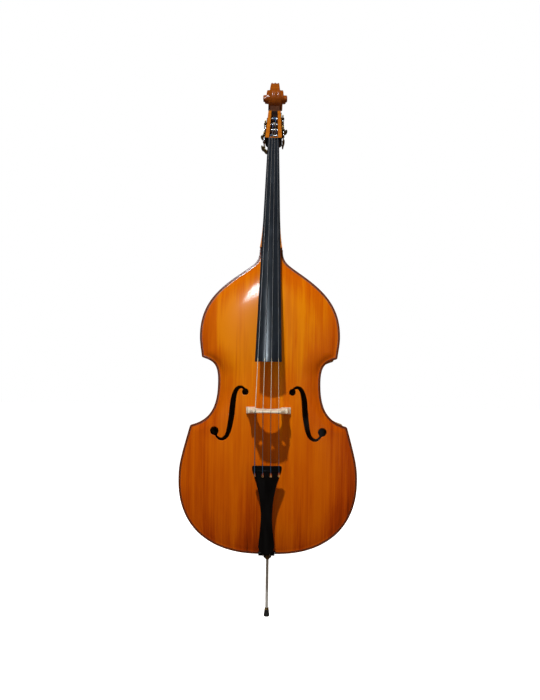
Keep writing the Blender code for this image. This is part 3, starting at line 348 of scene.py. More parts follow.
# ================================================================ meshes
def piece(name, points, faces, materials, body="bass", slot=None, replaces=(), smooth=35,
          marks=None, **values):
    """One object that rides on a body. marks gives each face's material, values per point go
    to the shader as attributes."""
    mesh = bpy.data.meshes.new(name)
    mesh.from_pydata([tuple(map(float, point)) for point in points], [], faces)
    for material in materials if isinstance(materials, tuple) else (materials,):
        mesh.materials.append(material)
    if marks is not None:
        mesh.polygons.foreach_set("material_index", np.asarray(marks, np.int32))
    for key, numbers in values.items():
        layer = mesh.attributes.new(key, "FLOAT", "POINT")
        layer.data.foreach_set("value", np.asarray(numbers, np.float32))
    solid = bmesh.new()
    solid.from_mesh(mesh)
    bmesh.ops.recalc_face_normals(solid, faces=solid.faces)
    solid.to_mesh(mesh)
    solid.free()
    mesh.shade_smooth()
    mesh.set_sharp_from_angle(angle=math.radians(smooth))
    made = bpy.data.objects.new(name, mesh)
    bpy.context.scene.collection.objects.link(made)
    if body:
        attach(made, body)
    if replaces:
        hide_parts(*replaces)
    return made


def skin(rings, around=False):
    """Points and faces through rings of one size; around joins the last ring to the first, and
    otherwise both ends are closed."""
    rings = np.asarray(rings, float)
    count, size = rings.shape[:2]
    faces = []
    for ring in range(count if around else count - 1):
        here, there = ring * size, (ring + 1) % count * size
        for corner in range(size):
            after = (corner + 1) % size
            faces.append((here + corner, here + after, there + after, there + corner))
    if not around:
        faces += [tuple(range(size)), tuple(range((count - 1) * size, count * size))]
    return rings.reshape(-1, 3), faces


def loft(name, rings, materials, around=False, **rest):
    return piece(name, *skin(rings, around), materials, **rest)


def soft_ends(rings, inset):
    """Rings with one more, smaller ring at each end, so that the ends' edges are rounded."""
    rings = np.asarray(rings, float)
    ends = []
    for ring, along in ((rings[0], rings[0] - rings[1]), (rings[-1], rings[-1] - rings[-2])):
        middle = ring.mean(axis=0)
        size = np.linalg.norm(ring - middle, axis=1).max()
        step = along.mean(axis=0) / np.linalg.norm(along.mean(axis=0)) * inset
        ends.append(middle + (ring - middle) * (1 - 1.2 * inset / size))
        ring -= step
    return np.concatenate([ends[:1], rings, ends[1:]])


def ring_of(radius, along, segments, axis="X", place=(0, 0, 0)):
    angles = TURN * (np.arange(segments) + 0.5) / segments
    across, deep = radius * np.cos(angles), radius * np.sin(angles)
    level = np.full(segments, along)
    order = {"X": (level, across, deep), "Y": (deep, level, across), "Z": (across, deep, level)}
    return np.stack(order[axis], axis=1) + np.asarray(place)


def turned(name, profile, materials, axis="Z", segments=48, hollow=False, place=(0, 0, 0),
           to_world=None, **rest):
    """A body of revolution from (radius, distance along the axis) pairs."""
    rings = np.array([ring_of(radius, along, segments, axis, place) for radius, along in profile])
    return loft(name, to_world(rings) if to_world else rings, materials, hollow, **rest)


def tube(name, path, radius, materials, sides=12, **rest):
    """A tube along a smooth path, without twist. Each point's way along it is the attribute along."""
    path = np.asarray(path, float)
    ahead_at = unit(np.gradient(path, axis=0))
    aside = np.cross(ahead_at[0], (0.3, 0.5, 0.9))
    angles = full_turn(sides)
    rings = []
    for spot, ahead, size in zip(path, ahead_at, np.broadcast_to(radius, len(path))):
        aside = aside - ahead * (aside @ ahead)
        aside /= np.linalg.norm(aside)
        other = np.cross(ahead, aside)
        rings.append(spot + size * (
            np.cos(angles)[:, None] * aside + np.sin(angles)[:, None] * other
        ))
    return loft(name, rings, materials, along=np.repeat(reach_along(path), sides), **rest)


def triangulated(outline, holes, loops, spots):
    """A flat net over an outline with holes, which follows the loops: points and triangles."""
    flat, edges = [], []
    for line in [outline, *holes, *loops]:
        first, count = len(flat), len(line)
        steps = np.linalg.norm(np.roll(line, -1, axis=0) - line, axis=1)
        far = 6 * np.median(steps) + 0.004 if line is not outline else math.inf
        flat += [Vector(point) for point in line]
        edges += [(first + i, first + (i + 1) % count) for i in range(count) if steps[i] < far]
    flat += [Vector(point) for point in spots]
    made = delaunay_2d_cdt(flat, edges, [], 1, 1e-7)
    points = np.array([tuple(point) for point in made[0]])
    triangles = np.array([tuple(triangle) for triangle in made[2] if len(triangle) == 3])
    middles = points[triangles].mean(axis=1)
    kept = inside(middles, outline)
    for hole in holes:
        kept &= ~inside(middles, hole)
    used, index = np.unique(triangles[kept], return_inverse=True)
    return points[used], index.reshape(-1, 3)


def two_sided(points, triangles, near, far, to_space):
    """Points and faces of a sheet between two surfaces: its near side, its far side, its walls."""
    count = len(points)
    space = np.vstack([to_space(points, near), to_space(points, far)])
    there = (triangles[:, ::-1] + count).tolist()
    here = triangles.tolist()
    ahead = {(t[i], t[(i + 1) % 3]) for t in here for i in range(3)}
    walls = [(b, a, count + a, count + b) for a, b in sorted(ahead) if (b, a) not in ahead]
    return space, [tuple(face) for face in here + there + walls]


def hex_grid(low, high, spacing):
    spots = []
    for index, height in enumerate(np.arange(low[1], high[1], spacing * 0.866)):
        across = np.arange(low[0] + spacing * 0.5 * (index % 2), high[0], spacing)
        spots.append(np.stack([across, np.full(len(across), height)], axis=1))
    return np.vstack(spots)


def joined(shapes):
    """Points and faces of several shapes, as one."""
    points, faces = [], []
    for some, own in shapes:
        first = len(points)
        points += [tuple(point) for point in some]
        faces += [tuple(first + corner for corner in face) for face in own]
    return points, faces


def cut(target, cutters):
    """Takes the cutters away from a piece, for good."""
    for cutter in cutters:
        modifier = target.modifiers.new("cut", "BOOLEAN")
        modifier.operation = "DIFFERENCE"
        modifier.object = cutter
        modifier.solver = "EXACT"
    graph = bpy.context.evaluated_depsgraph_get()
    mesh = bpy.data.meshes.new_from_object(target.evaluated_get(graph))
    target.modifiers.clear()
    target.data = mesh
    mesh.shade_smooth()
    mesh.set_sharp_from_angle(angle=math.radians(35))
    for cutter in cutters:
        bpy.data.objects.remove(cutter)


# ================================================================ materials
def set_inputs(node, **inputs):
    """Sets a node's inputs by name, or by number as in0. Another node's socket is linked."""
    for key, value in inputs.items():
        socket = node.inputs[int(key[2:]) if key.startswith("in") else key.replace("_", " ")]
        if isinstance(value, bpy.types.NodeSocket):
            node.id_data.links.new(value, socket)
        else:
            socket.default_value = value
    return node


def add(tree, kind, settings=None, **inputs):
    made = tree.nodes.new(kind)
    for key, value in (settings or {}).items():
        setattr(made, key, value)
    return set_inputs(made, **inputs)


def new_material(name, roughness, metallic=0.0, coat=0.0, coat_roughness=0.1, specular=0.5):
    material = bpy.data.materials.new(name)
    material.use_nodes = True
    shader = material.node_tree.nodes["Principled BSDF"]
    set_inputs(
        shader, Roughness=roughness, Metallic=metallic, Specular_IOR_Level=specular,
        Coat_Weight=coat, Coat_Roughness=coat_roughness,
    )
    return material, material.node_tree, shader


def object_place(tree):
    return add(tree, "ShaderNodeTexCoord").outputs["Object"]


def axes_of(tree, place=None):
    place = object_place(tree) if place is None else place
    return add(tree, "ShaderNodeSeparateXYZ", Vector=place).outputs


def attribute(tree, name):
    return add(tree, "ShaderNodeAttribute", {"attribute_name": name}).outputs["Fac"]


def noise(tree, scale, detail=3.0, roughness=0.5, distortion=0.0, place=None):
    """Noise from 0 to 1 in the piece's own space, scaled per axis."""
    place = object_place(tree) if place is None else place
    spread = add(tree, "ShaderNodeMapping", Vector=place, Scale=scale).outputs["Vector"]
    return add(
        tree, "ShaderNodeTexNoise", Vector=spread, Scale=1.0, Detail=detail, Roughness=roughness,
        Distortion=distortion,
    ).outputs["Fac"]


def ramp(tree, value, *stops):
    made = add(tree, "ShaderNodeValToRGB", Fac=value)
    elements = made.color_ramp.elements
    while len(elements) < len(stops):
        elements.new(0.5)
    for element, (place, colour) in zip(elements, stops):
        element.position = place
        element.color = (*colour, 1.0)
    return made.outputs["Color"]


def grey_ramp(tree, value, *stops):
    return ramp(tree, value, *((place, (level, level, level)) for place, level in stops))


def mix(tree, a, b, share, mode="MIX"):
    a, b = ((*value, 1.0) if isinstance(value, tuple) else value for value in (a, b))
    settings = {"data_type": "RGBA", "blend_type": mode}
    return add(tree, "ShaderNodeMix", settings, in0=share, in6=a, in7=b).outputs[2]


def math_of(tree, operation, a, b=0.0, c=0.0):
    return add(
        tree, "ShaderNodeMath", {"operation": operation}, in0=a, in1=b, in2=c
    ).outputs["Value"]


def times(tree, a, b):
    return math_of(tree, "MULTIPLY", a, b)


def swayed(tree, level, wave, weight):
    """A level moved down and up by a wave that runs from 0 to 1."""
    return math_of(tree, "MULTIPLY_ADD", math_of(tree, "SUBTRACT", wave, 0.5), weight, level)


def mapped(tree, value, low, high, to_low=0.0, to_high=1.0):
    return add(
        tree, "ShaderNodeMapRange", {"interpolation_type": "SMOOTHSTEP"}, Value=value,
        From_Min=low, From_Max=high, To_Min=to_low, To_Max=to_high,
    ).outputs["Result"]


def scaled(colour, share):
    return tuple(value * share for value in colour)


def finish(tree, shader, colour, height, bump, distance, roughness=None):
    made = add(tree, "ShaderNodeBump", Strength=bump, Distance=distance, Height=height)
    set_inputs(shader, Base_Color=colour, Normal=made.outputs["Normal"])
    if roughness is not None:
        set_inputs(shader, Roughness=roughness)


def make_spruce():
    """Varnished spruce: upright grain, golden in the middle and red-brown at the edge, with painted
    shade that darkens it towards the foot.
    """
    material, tree, shader = new_material(
        "varnished_spruce", 0.36, coat=0.26, coat_roughness=0.12, specular=0.05
    )
    broad = noise(tree, (38, 6, 1.1), 4.0, 0.55)
    streak = noise(tree, (150, 20, 2.0), 4.0, 0.6)
    fine = noise(tree, (700, 60, 3.5), 2.0)
    grain = mix(tree, mix(tree, broad, streak, 0.42), fine, 0.22)
    bands = noise(tree, (17, 5, 1.3), 4.0, 0.62, 0.4)
    clouds = noise(tree, (9.0, 6.0, 3.2))
    edge = attribute(tree, "edge")
    place = axes_of(tree)
    across = math_of(tree, "ABSOLUTE", place["X"])
    # Painted shade: the level falls from the upper bout to the foot, where the light falls off.
    level = swayed(tree, mapped(tree, place["Z"], 0.22, 1.30, 0.38, 1.0), clouds, 0.42)
    inner = math_of(tree, "MULTIPLY_ADD", mapped(tree, edge, 0.012, 0.11), 0.30, 0.70)
    level = times(tree, level, inner)
    level = math_of(tree, "SUBTRACT", level, mapped(tree, across, 0.14, 0.33, 0.0, 0.06))
    level = swayed(tree, swayed(tree, level, grain, 1.35), bands, 0.85)
    colour = ramp(
        tree, level,
        (0.00, (0.165, 0.018, 0.000)), (0.22, (0.370, 0.043, 0.000)), (0.45, (0.550, 0.094, 0.000)),
        (0.70, (0.650, 0.138, 0.000)), (0.95, (0.790, 0.240, 0.001)),
    )
    # Darkens a thin band along the plate's edge.
    edge_darkening = mapped(tree, edge, 0.0042, 0.0080, 0.95, 0.0)
    colour = mix(tree, colour, (0.095, 0.017, 0.001), edge_darkening)
    rough = grey_ramp(tree, clouds, (0.3, 0.24), (0.7, 0.36))
    finish(tree, shader, colour, streak, 0.06, 0.0006, rough)
    return material


def make_maple(name, grain_axis, dark, light, flame_scale=1.0, mirror=False, darker_above=None):
    """Varnished maple: flames across the grain, in bands that shift and fade."""
    material, tree, shader = new_material(name, 0.30, coat=0.30, coat_roughness=0.12, specular=0.3)
    place = object_place(tree)
    if mirror:
        parts = axes_of(tree, place)
        aside = math_of(tree, "ABSOLUTE", parts["X"])
        slope = math_of(tree, "MULTIPLY_ADD", aside, -0.22, parts["Z"])
        place = add(
            tree, "ShaderNodeCombineXYZ", X=aside, Y=parts["Y"], Z=slope
        ).outputs["Vector"]
    flame_bands, along = {
        "Z": ((4, 4, 95), (420, 420, 9)),
        "Y": ((95, 4, 95), (60, 9, 60)),
    }[grain_axis]
    flame = noise(tree, scaled(flame_bands, flame_scale), 3.0, 0.55, 0.6, place)
    fibre = noise(tree, along, place=place)
    clouds = noise(tree, (6, 6, 4), 2.0)
    level = mix(tree, mix(tree, flame, fibre, 0.25), clouds, 0.30)
    middle = tuple((a + b) / 2 for a, b in zip(dark, light))
    colour = ramp(tree, level, (0.30, dark), (0.50, middle), (0.68, light))
    # Painted shade: darker towards the top, for the scroll's shadow on the pegbox's top, and for the
    # scroll's darker tone.
    if darker_above:
        share = mapped(tree, axes_of(tree)["Z"], darker_above, darker_above + 0.022)
        colour = mix(tree, colour, (0.62, 0.47, 0.42), share, "MULTIPLY")
    rough = grey_ramp(tree, flame, (0.3, 0.22), (0.7, 0.34))
    finish(tree, shader, colour, fibre, 0.05, 0.0004, rough)
    return material


def make_plain_wood(name, dark, light, scale, roughness=0.6, coat=0.0, flecks=0.0):
    """Bare or lightly sealed wood with fine fibres, and rays as flecks."""
    material, tree, shader = new_material(name, roughness, coat=coat)
    fibre = noise(tree, scale, 4.0, 0.6)
    clouds = noise(tree, (20, 20, 14))
    colour = ramp(tree, mix(tree, fibre, clouds, 0.35), (0.32, dark), (0.66, light))
    if flecks:
        spots = noise(tree, (900, 350, 240), 1.0)
        mask = grey_ramp(tree, spots, (0.60, 0.0), (0.68, 1.0))
        colour = mix(tree, colour, scaled(dark, 0.55), times(tree, mask, flecks))
    finish(tree, shader, colour, fibre, 0.12, 0.0003)
    return material


def make_ebony(name, roughness, coat, dark, light, specular):
    """Oiled ebony: nearly black, with long pores that catch the light."""
    material, tree, shader = new_material(name, roughness, 0.0, coat, 0.22, specular)
    pores = noise(tree, (1400, 500, 16))
    clouds = noise(tree, (60, 40, 5))
    colour = ramp(tree, mix(tree, pores, clouds, 0.5), (0.35, dark), (0.68, light))
    rough = grey_ramp(tree, clouds, (0.3, roughness - 0.05), (0.7, roughness + 0.09))
    finish(tree, shader, colour, pores, 0.10, 0.0002, rough)
    return material


def make_metal(name, colour, roughness, spots, grain=260, dark=0.45, metallic=1.0, upright=None):
    """Metal with handling marks: dull and darker where it is tarnished."""
    material, tree, shader = new_material(name, roughness, metallic)
    marks = noise(tree, (grain, grain, upright or grain), 5.0, 0.65)
    worn = grey_ramp(tree, marks, (0.38, 1.0), (0.66, 0.0))
    tint = mix(tree, colour, scaled(colour, dark), times(tree, worn, spots))
    rough = grey_ramp(tree, marks, (0.3, roughness + 0.14), (0.7, max(roughness - 0.06, 0.08)))
    finish(tree, shader, tint, marks, 0.05, 0.0002, rough)
    return material


def make_wound(name, colour, groove, pitch, metallic, roughness):
    """Thread or ribbon wound round a core, its turns a pitch apart along the attribute."""
    material, tree, shader = new_material(name, roughness, metallic)
    wave = math_of(tree, "SINE", times(tree, attribute(tree, "along"), TURN / pitch))
    level = math_of(tree, "MULTIPLY_ADD", wave, 0.5, 0.5)
    marks = noise(tree, (300, 300, 40))
    # The grooves between turns take the darker colour: painted shade in the creases.
    turns = ramp(tree, level, (0.05, groove), (0.45, colour))
    tint = mix(tree, turns, scaled(colour, 0.6), times(tree, marks, 0.4))
    finish(tree, shader, tint, level, 0.5, pitch * 0.25)
    return material


def make_rubber(name, colour, roughness):
    """Black rubber or horn with a little dust."""
    material, tree, shader = new_material(name, roughness)
    dust = noise(tree, (500, 500, 500), 4.0)
    scuff = noise(tree, (90, 90, 90))
    pale = tuple(value * 3 + 0.004 for value in colour)
    tint = ramp(tree, mix(tree, dust, scuff, 0.5), (0.42, colour), (0.72, pale))
    finish(tree, shader, tint, dust, 0.15, 0.0003)
    return material


SPRUCE = make_spruce()
MAPLE_BACK = make_maple(
    "flamed_maple_back", "Z", (0.165, 0.028, 0.002), (0.520, 0.150, 0.006), mirror=True
)
MAPLE_RIBS = make_maple("flamed_maple_ribs", "Y", (0.190, 0.032, 0.002), (0.540, 0.160, 0.008))
MAPLE_NECK = make_maple(
    "varnished_maple_neck", "Z", (0.300, 0.070, 0.004), (0.640, 0.225, 0.012), 1.3
)
# Above the cheeks the head darkens: painted shade of the scroll on the pegbox's top, and the scroll's
# darker tone.
MAPLE_HEAD = make_maple(
    "varnished_maple_head", "Z", (0.300, 0.070, 0.003), (0.560, 0.180, 0.006), 1.6, darker_above=1.966
)
CUT_EDGE = make_plain_wood(
    "stained_edge", (0.030, 0.007, 0.002), (0.060, 0.016, 0.004), (200, 200, 30), 0.5
)
INLAY = make_plain_wood(
    "dyed_inlay", (0.030, 0.007, 0.002), (0.085, 0.022, 0.004), (300, 300, 60), 0.4, 0.4
)
PALE_INSIDE = make_plain_wood(
    "bare_inside", (0.30, 0.19, 0.09), (0.46, 0.33, 0.18), (260, 260, 14)
)
BRIDGE_WOOD = make_plain_wood(
    "bridge_maple", (0.84, 0.75, 0.58), (0.97, 0.92, 0.80), (60, 500, 60), 0.45, 0.15, 0.5
)
# Near-black wood for the pegbox's cavity and the throat under the scroll: painted shade.
SHADE_PAINTED_CAVITY = make_plain_wood(
    "stained_cavity", (0.035, 0.012, 0.006), (0.085, 0.028, 0.010), (200, 200, 40), 0.6
)
# Near-black ebony whose bluish tint is a painted reflection of the blue-grey sheen on the board.
BOARD_EBONY = make_ebony(
    "board_ebony", 0.21, 0.0, (0.006, 0.009, 0.014), (0.018, 0.025, 0.036), 0.26
)
EBONY = make_ebony("fitting_ebony", 0.36, 0.03, (0.001, 0.001, 0.0015), (0.006, 0.006, 0.007), 0.16)
GLOSS_BLACK = make_rubber("polished_black", (0.012, 0.012, 0.013), 0.28)
RUBBER = make_rubber("tip_rubber", (0.005, 0.005, 0.005), 0.62)
ROD_STEEL = make_metal("satin_steel", (0.74, 0.74, 0.72), 0.40, 0.6, 500, metallic=0.30, upright=60)
BRIGHT_STEEL = make_metal("plated_steel", (0.74, 0.75, 0.78), 0.20, 0.3)
BRASS = make_metal("lacquered_brass", (0.50, 0.33, 0.11), 0.27, 0.45)
AGED_BRASS = make_metal("aged_brass", (0.30, 0.24, 0.115), 0.38, 0.55, 180, 0.4)
DARK_BRASS = make_metal("dark_plate", (0.115, 0.095, 0.055), 0.36, 0.6, 160, 0.35)
GOLD = make_metal("gilt_ball", (0.83, 0.60, 0.22), 0.22, 0.2)
# The cream string is the lit copy, for the stretch between bridge and fingerboard; the grey one below is
# the same string with painted shade, below the bridge and over the fingerboard.
WOUND_STEEL = make_wound(
    "wound_string", (0.82, 0.70, 0.52), (0.42, 0.34, 0.23), 0.0006, 0.35, 0.4
)
SHADED_WOUND = make_wound(
    "grey_wound_string", (0.30, 0.31, 0.33), (0.12, 0.12, 0.13), 0.0006, 0.6, 0.4
)
BLUE_SILK = make_wound("blue_silk", (0.050, 0.150, 0.36), (0.015, 0.045, 0.13), 0.0007, 0.0, 0.55)
CABLE_STEEL = make_wound(
    "stranded_cable", (0.62, 0.62, 0.62), (0.22, 0.22, 0.22), 0.0012, 1.0, 0.3
)


# ================================================================ the body
def with_nick(line, outward):
    """A side of the sound hole with its small notch."""
    at = int(np.argmin(np.abs(line[:, 1] - NICK_HEIGHT)))
    apex = line[at] + outward[at] * NICK
    step = (line[at + 1] - line[at - 1]) / np.linalg.norm(line[at + 1] - line[at - 1]) * 0.0016
    far = np.abs(line[:, 1] - NICK_HEIGHT) > 0.0030
    before, after = (np.arange(len(line)) < at) & far, (np.arange(len(line)) > at) & far
    return np.vstack([line[before], line[at] - step, apex, line[at] + step, line[after]])


def sound_hole(steps=8, arc_steps=40):
    """The right sound hole: an S of changing width between two round eyes, with its nicks."""
    path = smooth_line(np.array(SOUND_HOLE_PATH) * MM, steps)
    spots, half_widths = path[:, :2], path[:, 2:] / 2
    upper, lower = spots[0], spots[-1]
    clear = np.linalg.norm(spots - upper, axis=1) > HOLE_EYES[0]
    clear &= np.linalg.norm(spots - lower, axis=1) > HOLE_EYES[1]
    aside = aside_of(spots)
    left, right = (
        with_nick((spots + way * half_widths)[clear], way[clear]) for way in (-aside, aside)
    )

    def arc(centre, radius, start, end):
        first = math.atan2(*(start - centre)[::-1])
        sweep = (first - math.atan2(*(end - centre)[::-1])) % TURN
        return centre + circle(first - sweep * np.arange(1, arc_steps) / arc_steps, radius)

    return np.vstack([
        left, arc(lower, HOLE_EYES[1], left[-1], right[-1]),
        right[::-1], arc(upper, HOLE_EYES[0], right[0], left[0]),
    ])


def with_notch(outline):
    """The outline with the saddle's notch in its lowest edge."""
    half, top = SADDLE_NOTCH
    low = (np.abs(outline[:, 0]) < half + 0.001) & (outline[:, 1] < 0.05)
    first = int(np.argmax(low))
    kept = outline[~low]
    notch = [(half, 0.0004), (half, top), (-half, top), (-half, 0.0004)]
    return np.vstack([kept[:first], notch, kept[first:]])


def with_button(outline):
    """The outline with the round button behind the neck's heel."""
    angles = math.pi * (1 - np.arange(33) / 32)
    rise = BUTTON[1] * np.maximum(np.sin(angles), 0) ** 0.8
    return np.vstack([outline, np.stack([BUTTON[0] * np.cos(angles), BODY_LENGTH + rise], axis=1)])


def hole_ring(hole, amount):
    """A loop just outside a hole."""
    out = aside_of(hole, around=True)
    if inside((hole + out * 0.0002)[:1], hole)[0]:
        out = -out
    moved = hole + out * amount
    return moved[distance_to(moved, [closed(hole)]) > amount * 0.98]


def plate_net(outline, holes):
    """A plate's flat net, with rows of points along its edge, its inlay and its holes."""
    rows = (0.0003, 0.0009, 0.0017, EDGE_ROUND, 0.0045, *PURFLING, 0.0110, 0.0150, 0.0200)
    loops = [inset_loop(amount) for amount in rows]
    spots = hex_grid((-0.34, 0.0), (0.34, BODY_LENGTH), GRID)
    spots = spots[inside(spots, outline)]
    spots = spots[distance_to(spots, WALLS) > 0.024]
    for hole in holes:
        loops += [hole_ring(hole, amount) for amount in (HOLE_ROUND * 0.35, HOLE_ROUND, 0.0035)]
        spots = spots[~inside(spots, hole)]
        spots = spots[distance_to(spots, [closed(hole)]) > 0.0075]
    half, top = SADDLE_NOTCH
    kept_loops = []
    for loop in loops:
        in_notch = (np.abs(loop[:, 0]) < half + 0.0005) & (loop[:, 1] < top + 0.0005)
        kept_loops.append(loop[inside(loop, outline) & ~in_notch])
    return triangulated(outline, holes, kept_loops, spots)


def hollow_along(edge):
    """The shallow channel along a plate's edge."""
    place, width, depth = CHANNEL
    return depth * np.exp(-(((edge - place) / width) ** 2))


def make_top():
    hole = sound_hole()
    holes = [hole, mirrored(hole)]
    points, triangles = plate_net(with_notch(body_outline()), holes)
    edge = distance_to(points, WALLS)
    rim = round_off(edge, EDGE_ROUND)
    rim += round_off(distance_to(points, [closed(line) for line in holes]), HOLE_ROUND)
    front = PLATE_FRONT - arch(points, edge)
    plate(
        "top_plate", points, triangles, front + rim + hollow_along(edge), front + PLATE_THICKNESS - rim,
        edge, SPRUCE, "top_varnish",
    )


def make_back():
    outline = with_button(body_outline())
    points, triangles = plate_net(outline, [])
    height = points[:, 1]
    edge = np.where(height > BODY_LENGTH, 0.004, distance_to(points, WALLS))
    edge = np.where(height > BODY_LENGTH - 0.03, np.minimum(edge, 0.03), edge)
    rim = round_off(np.minimum(edge, distance_to(points, [closed(outline)])), EDGE_ROUND)
    swell = np.where(height > BODY_LENGTH, 0, arch(points, edge))
    hollow = np.where(height > BODY_LENGTH - 0.012, 0, hollow_along(edge))
    back = back_edge(height) + swell
    plate(
        "back_plate", points, triangles, back - rim - hollow, back - PLATE_THICKNESS + rim,
        edge, MAPLE_BACK, "maple_varnish",
    )


def plate(node, points, triangles, outside, behind, edge, varnish, slot):
    space, faces = two_sided(
        points, triangles, outside, behind,
        lambda flat, deep: np.stack([flat[:, 0], deep, flat[:, 1] + BODY_FOOT], axis=1),
    )
    middles = edge[triangles].mean(axis=1)
    inlaid = (middles > PURFLING[0]) & (middles < PURFLING[1])
    wall_edges = np.tile(edge, 2)[[face[0] for face in faces[2 * len(triangles):]]]
    # Walls away from the outline are those of the sound holes
    marks = np.concatenate([inlaid, np.full(len(triangles), 2), np.where(wall_edges > 0.02, 3, 0)])
    piece(
        f"{node}_carved", space, faces, (varnish, INLAY, PALE_INSIDE, CUT_EDGE), marks=marks, smooth=50,
        slot=slot, replaces=(node,), edge=np.tile(edge, 2),
    )


def make_ribs():
    """Six bent ribs that meet under the plates' corners."""
    for part, side in zip(("upper", "waist", "lower"), SIDES):
        others = [wall for wall in WALLS if wall is not side]
        fine = resampled(side, 0.0025)
        inward = aside_of(fine)
        outer = fine + inward * OVERHANG
        inner = fine + inward * (OVERHANG + RIB_THICKNESS)
        keep = distance_to(outer, others) > OVERHANG + 0.0004
        keep &= outer[:, 0] > STRIP_HALF_WIDTH
        outer, inner = outer[keep], inner[keep]
        for hand, sign in (("right", 1), ("left", -1)):
            rings = []
            for near, far in zip(outer, inner):
                ring = []
                for (across, up), order in ((near, (0.0, 0.5, 1.0)), (far, (1.0, 0.5, 0.0))):
                    back = back_edge(up) - PLATE_THICKNESS
                    deep = {0.0: RIB_FRONT, 0.5: (RIB_FRONT + back) / 2, 1.0: back}
                    ring += [(sign * across, deep[share], up + BODY_FOOT) for share in order]
                rings.append(ring)
            loft(
                f"rib_{part}_{hand}_bent", rings, MAPLE_RIBS, slot="maple_varnish",
                replaces=(f"rib_{part}_{hand}",), along=np.repeat(reach_along(outer), 6),
            )


def make_end_strip():
    """The dark strip let in between the lower ribs, with the endpin's hole."""
    sides = np.linspace(RIB_FRONT, PLATE_BACK - PLATE_THICKNESS, 30)
    left, right = (
        np.stack([np.full(30, half), sides], axis=1) for half in (-STRIP_HALF_WIDTH, STRIP_HALF_WIDTH)
    )
    hole = circle(full_turn(48), 0.0166)
    points, triangles = triangulated(np.vstack([left, right[::-1]]), [hole], [], np.zeros((0, 2)))
    level = np.full(len(points), BODY_FOOT + OVERHANG + 0.0002)
    space, faces = two_sided(
        points, triangles, level, level + RIB_THICKNESS,
        lambda flat, up: np.stack([flat[:, 0], flat[:, 1], up], axis=1),
    )
    piece("end_strip", space, faces, EBONY, slot="black_fitting")


def make_saddle():
    low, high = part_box("saddle")
    profile = smooth_profile([
        (high.y, 0.0), (low.y + 0.0016, 0.0), (low.y, 0.0016), (low.y, 0.0085), (low.y + 0.0008, 0.0112),
        (low.y + 0.0025, 0.0130), (low.y + 0.0048, 0.0137), (high.y, 0.0137),
    ], 0.0009)
    rings = []
    for share in np.linspace(-1, 1, 15):
        dip = 0.0007 * math.exp(-(((abs(share) * high.x - 0.0125) / 0.0018) ** 2))
        rings.append([(share * high.x, deep + dip, low.z + up - dip) for deep, up in profile])
    loft(
        "saddle_shaped", soft_ends(rings, 0.0007), EBONY, slot="ebony", replaces=("saddle",), smooth=50,
    )


def make_inside():
    """Bare wood on the pieces inside the body, which show through the sound holes."""
    inner = (
        "top_lining", "back_lining", "neck_block", "end_block", "bass_bar", "sound_post",
        "corner_block_upper_right", "corner_block_upper_left", "corner_block_lower_right",
        "corner_block_lower_left",
    )
    for name in inner:
        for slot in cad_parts[name].material_slots:
            slot.material = PALE_INSIDE


# ================================================================ bridge, fingerboard, strings
# The bridge's right edge below its crown, in millimetres across and above the feet
BRIDGE_SIDE = (
    (49, 147.5), (49.5, 141), (52, 130), (57, 118), (61.5, 106), (62.5, 96), (60, 88),
    (54.5, 83), (52.5, 79.5), (55, 76.8), (60, 78.5), (67, 81), (70.5, 78), (70.8, 70),
    (70, 55), (70.8, 40), (73, 25), (77, 14), (81, 8.5),
)
BRIDGE_HEART = ((0, 106), (7.5, 115), (8.5, 121), (5, 125), (0, 121.5))
KIDNEY = ((41, 103), (8, 11.5))  # middle and half sizes, in millimetres
BRIDGE_ROUND = 0.0011  # radius of its rounded edges


def string_dip(across, column, depth=0.0007, width=0.0009):
    """Small grooves that the strings lie in."""
    across = np.asarray(across, float)
    return sum(depth * np.exp(-(((across - row[column]) / width) ** 2)) for row in STRINGS)


def bridge_outline(base):
    """The bridge seen from the front, above base, from its crown down to its shaped feet."""
    across = np.arange(0, 0.0466, 0.0005)
    level = base - BRIDGE_TOP - crown_drop(across) - string_dip(across, 3)
    crown = np.stack([across, level], axis=1)
    across = np.linspace(0.081, 0.0465, 12)
    half_foot = BRIDGE_THICKNESS[0] / 2
    foot = np.min([
        PLATE_FRONT - arch(np.stack([across, np.full(12, BRIDGE_HEIGHT + step)], axis=1))
        for step in (-half_foot, 0, half_foot)
    ], axis=0)
    feet = np.stack([across, base + 0.0007 - foot], axis=1)
    opening = circle(np.radians(np.linspace(0, 88, 16)), 0.045) + (0, 0.033)
    side = smooth_line(np.array(BRIDGE_SIDE) * MM, 4)
    right = np.vstack([crown, side, feet, [(0.0452, 0.020)], opening])
    return np.vstack([right, mirrored(right[1:])])


def ring_inside(line, amount, rims, outline, holes):
    """A loop beside one edge of a flat net, on the side where the material is."""
    out = aside_of(line, around=True)
    for sign in (1, -1):
        moved = line + sign * out * amount
        clear = inside(moved, outline) & (distance_to(moved, rims) > amount * 0.96)
        for hole in holes:
            clear &= ~inside(moved, hole)
        if clear.mean() > 0.5:
            return moved[clear]
    return moved[:0]


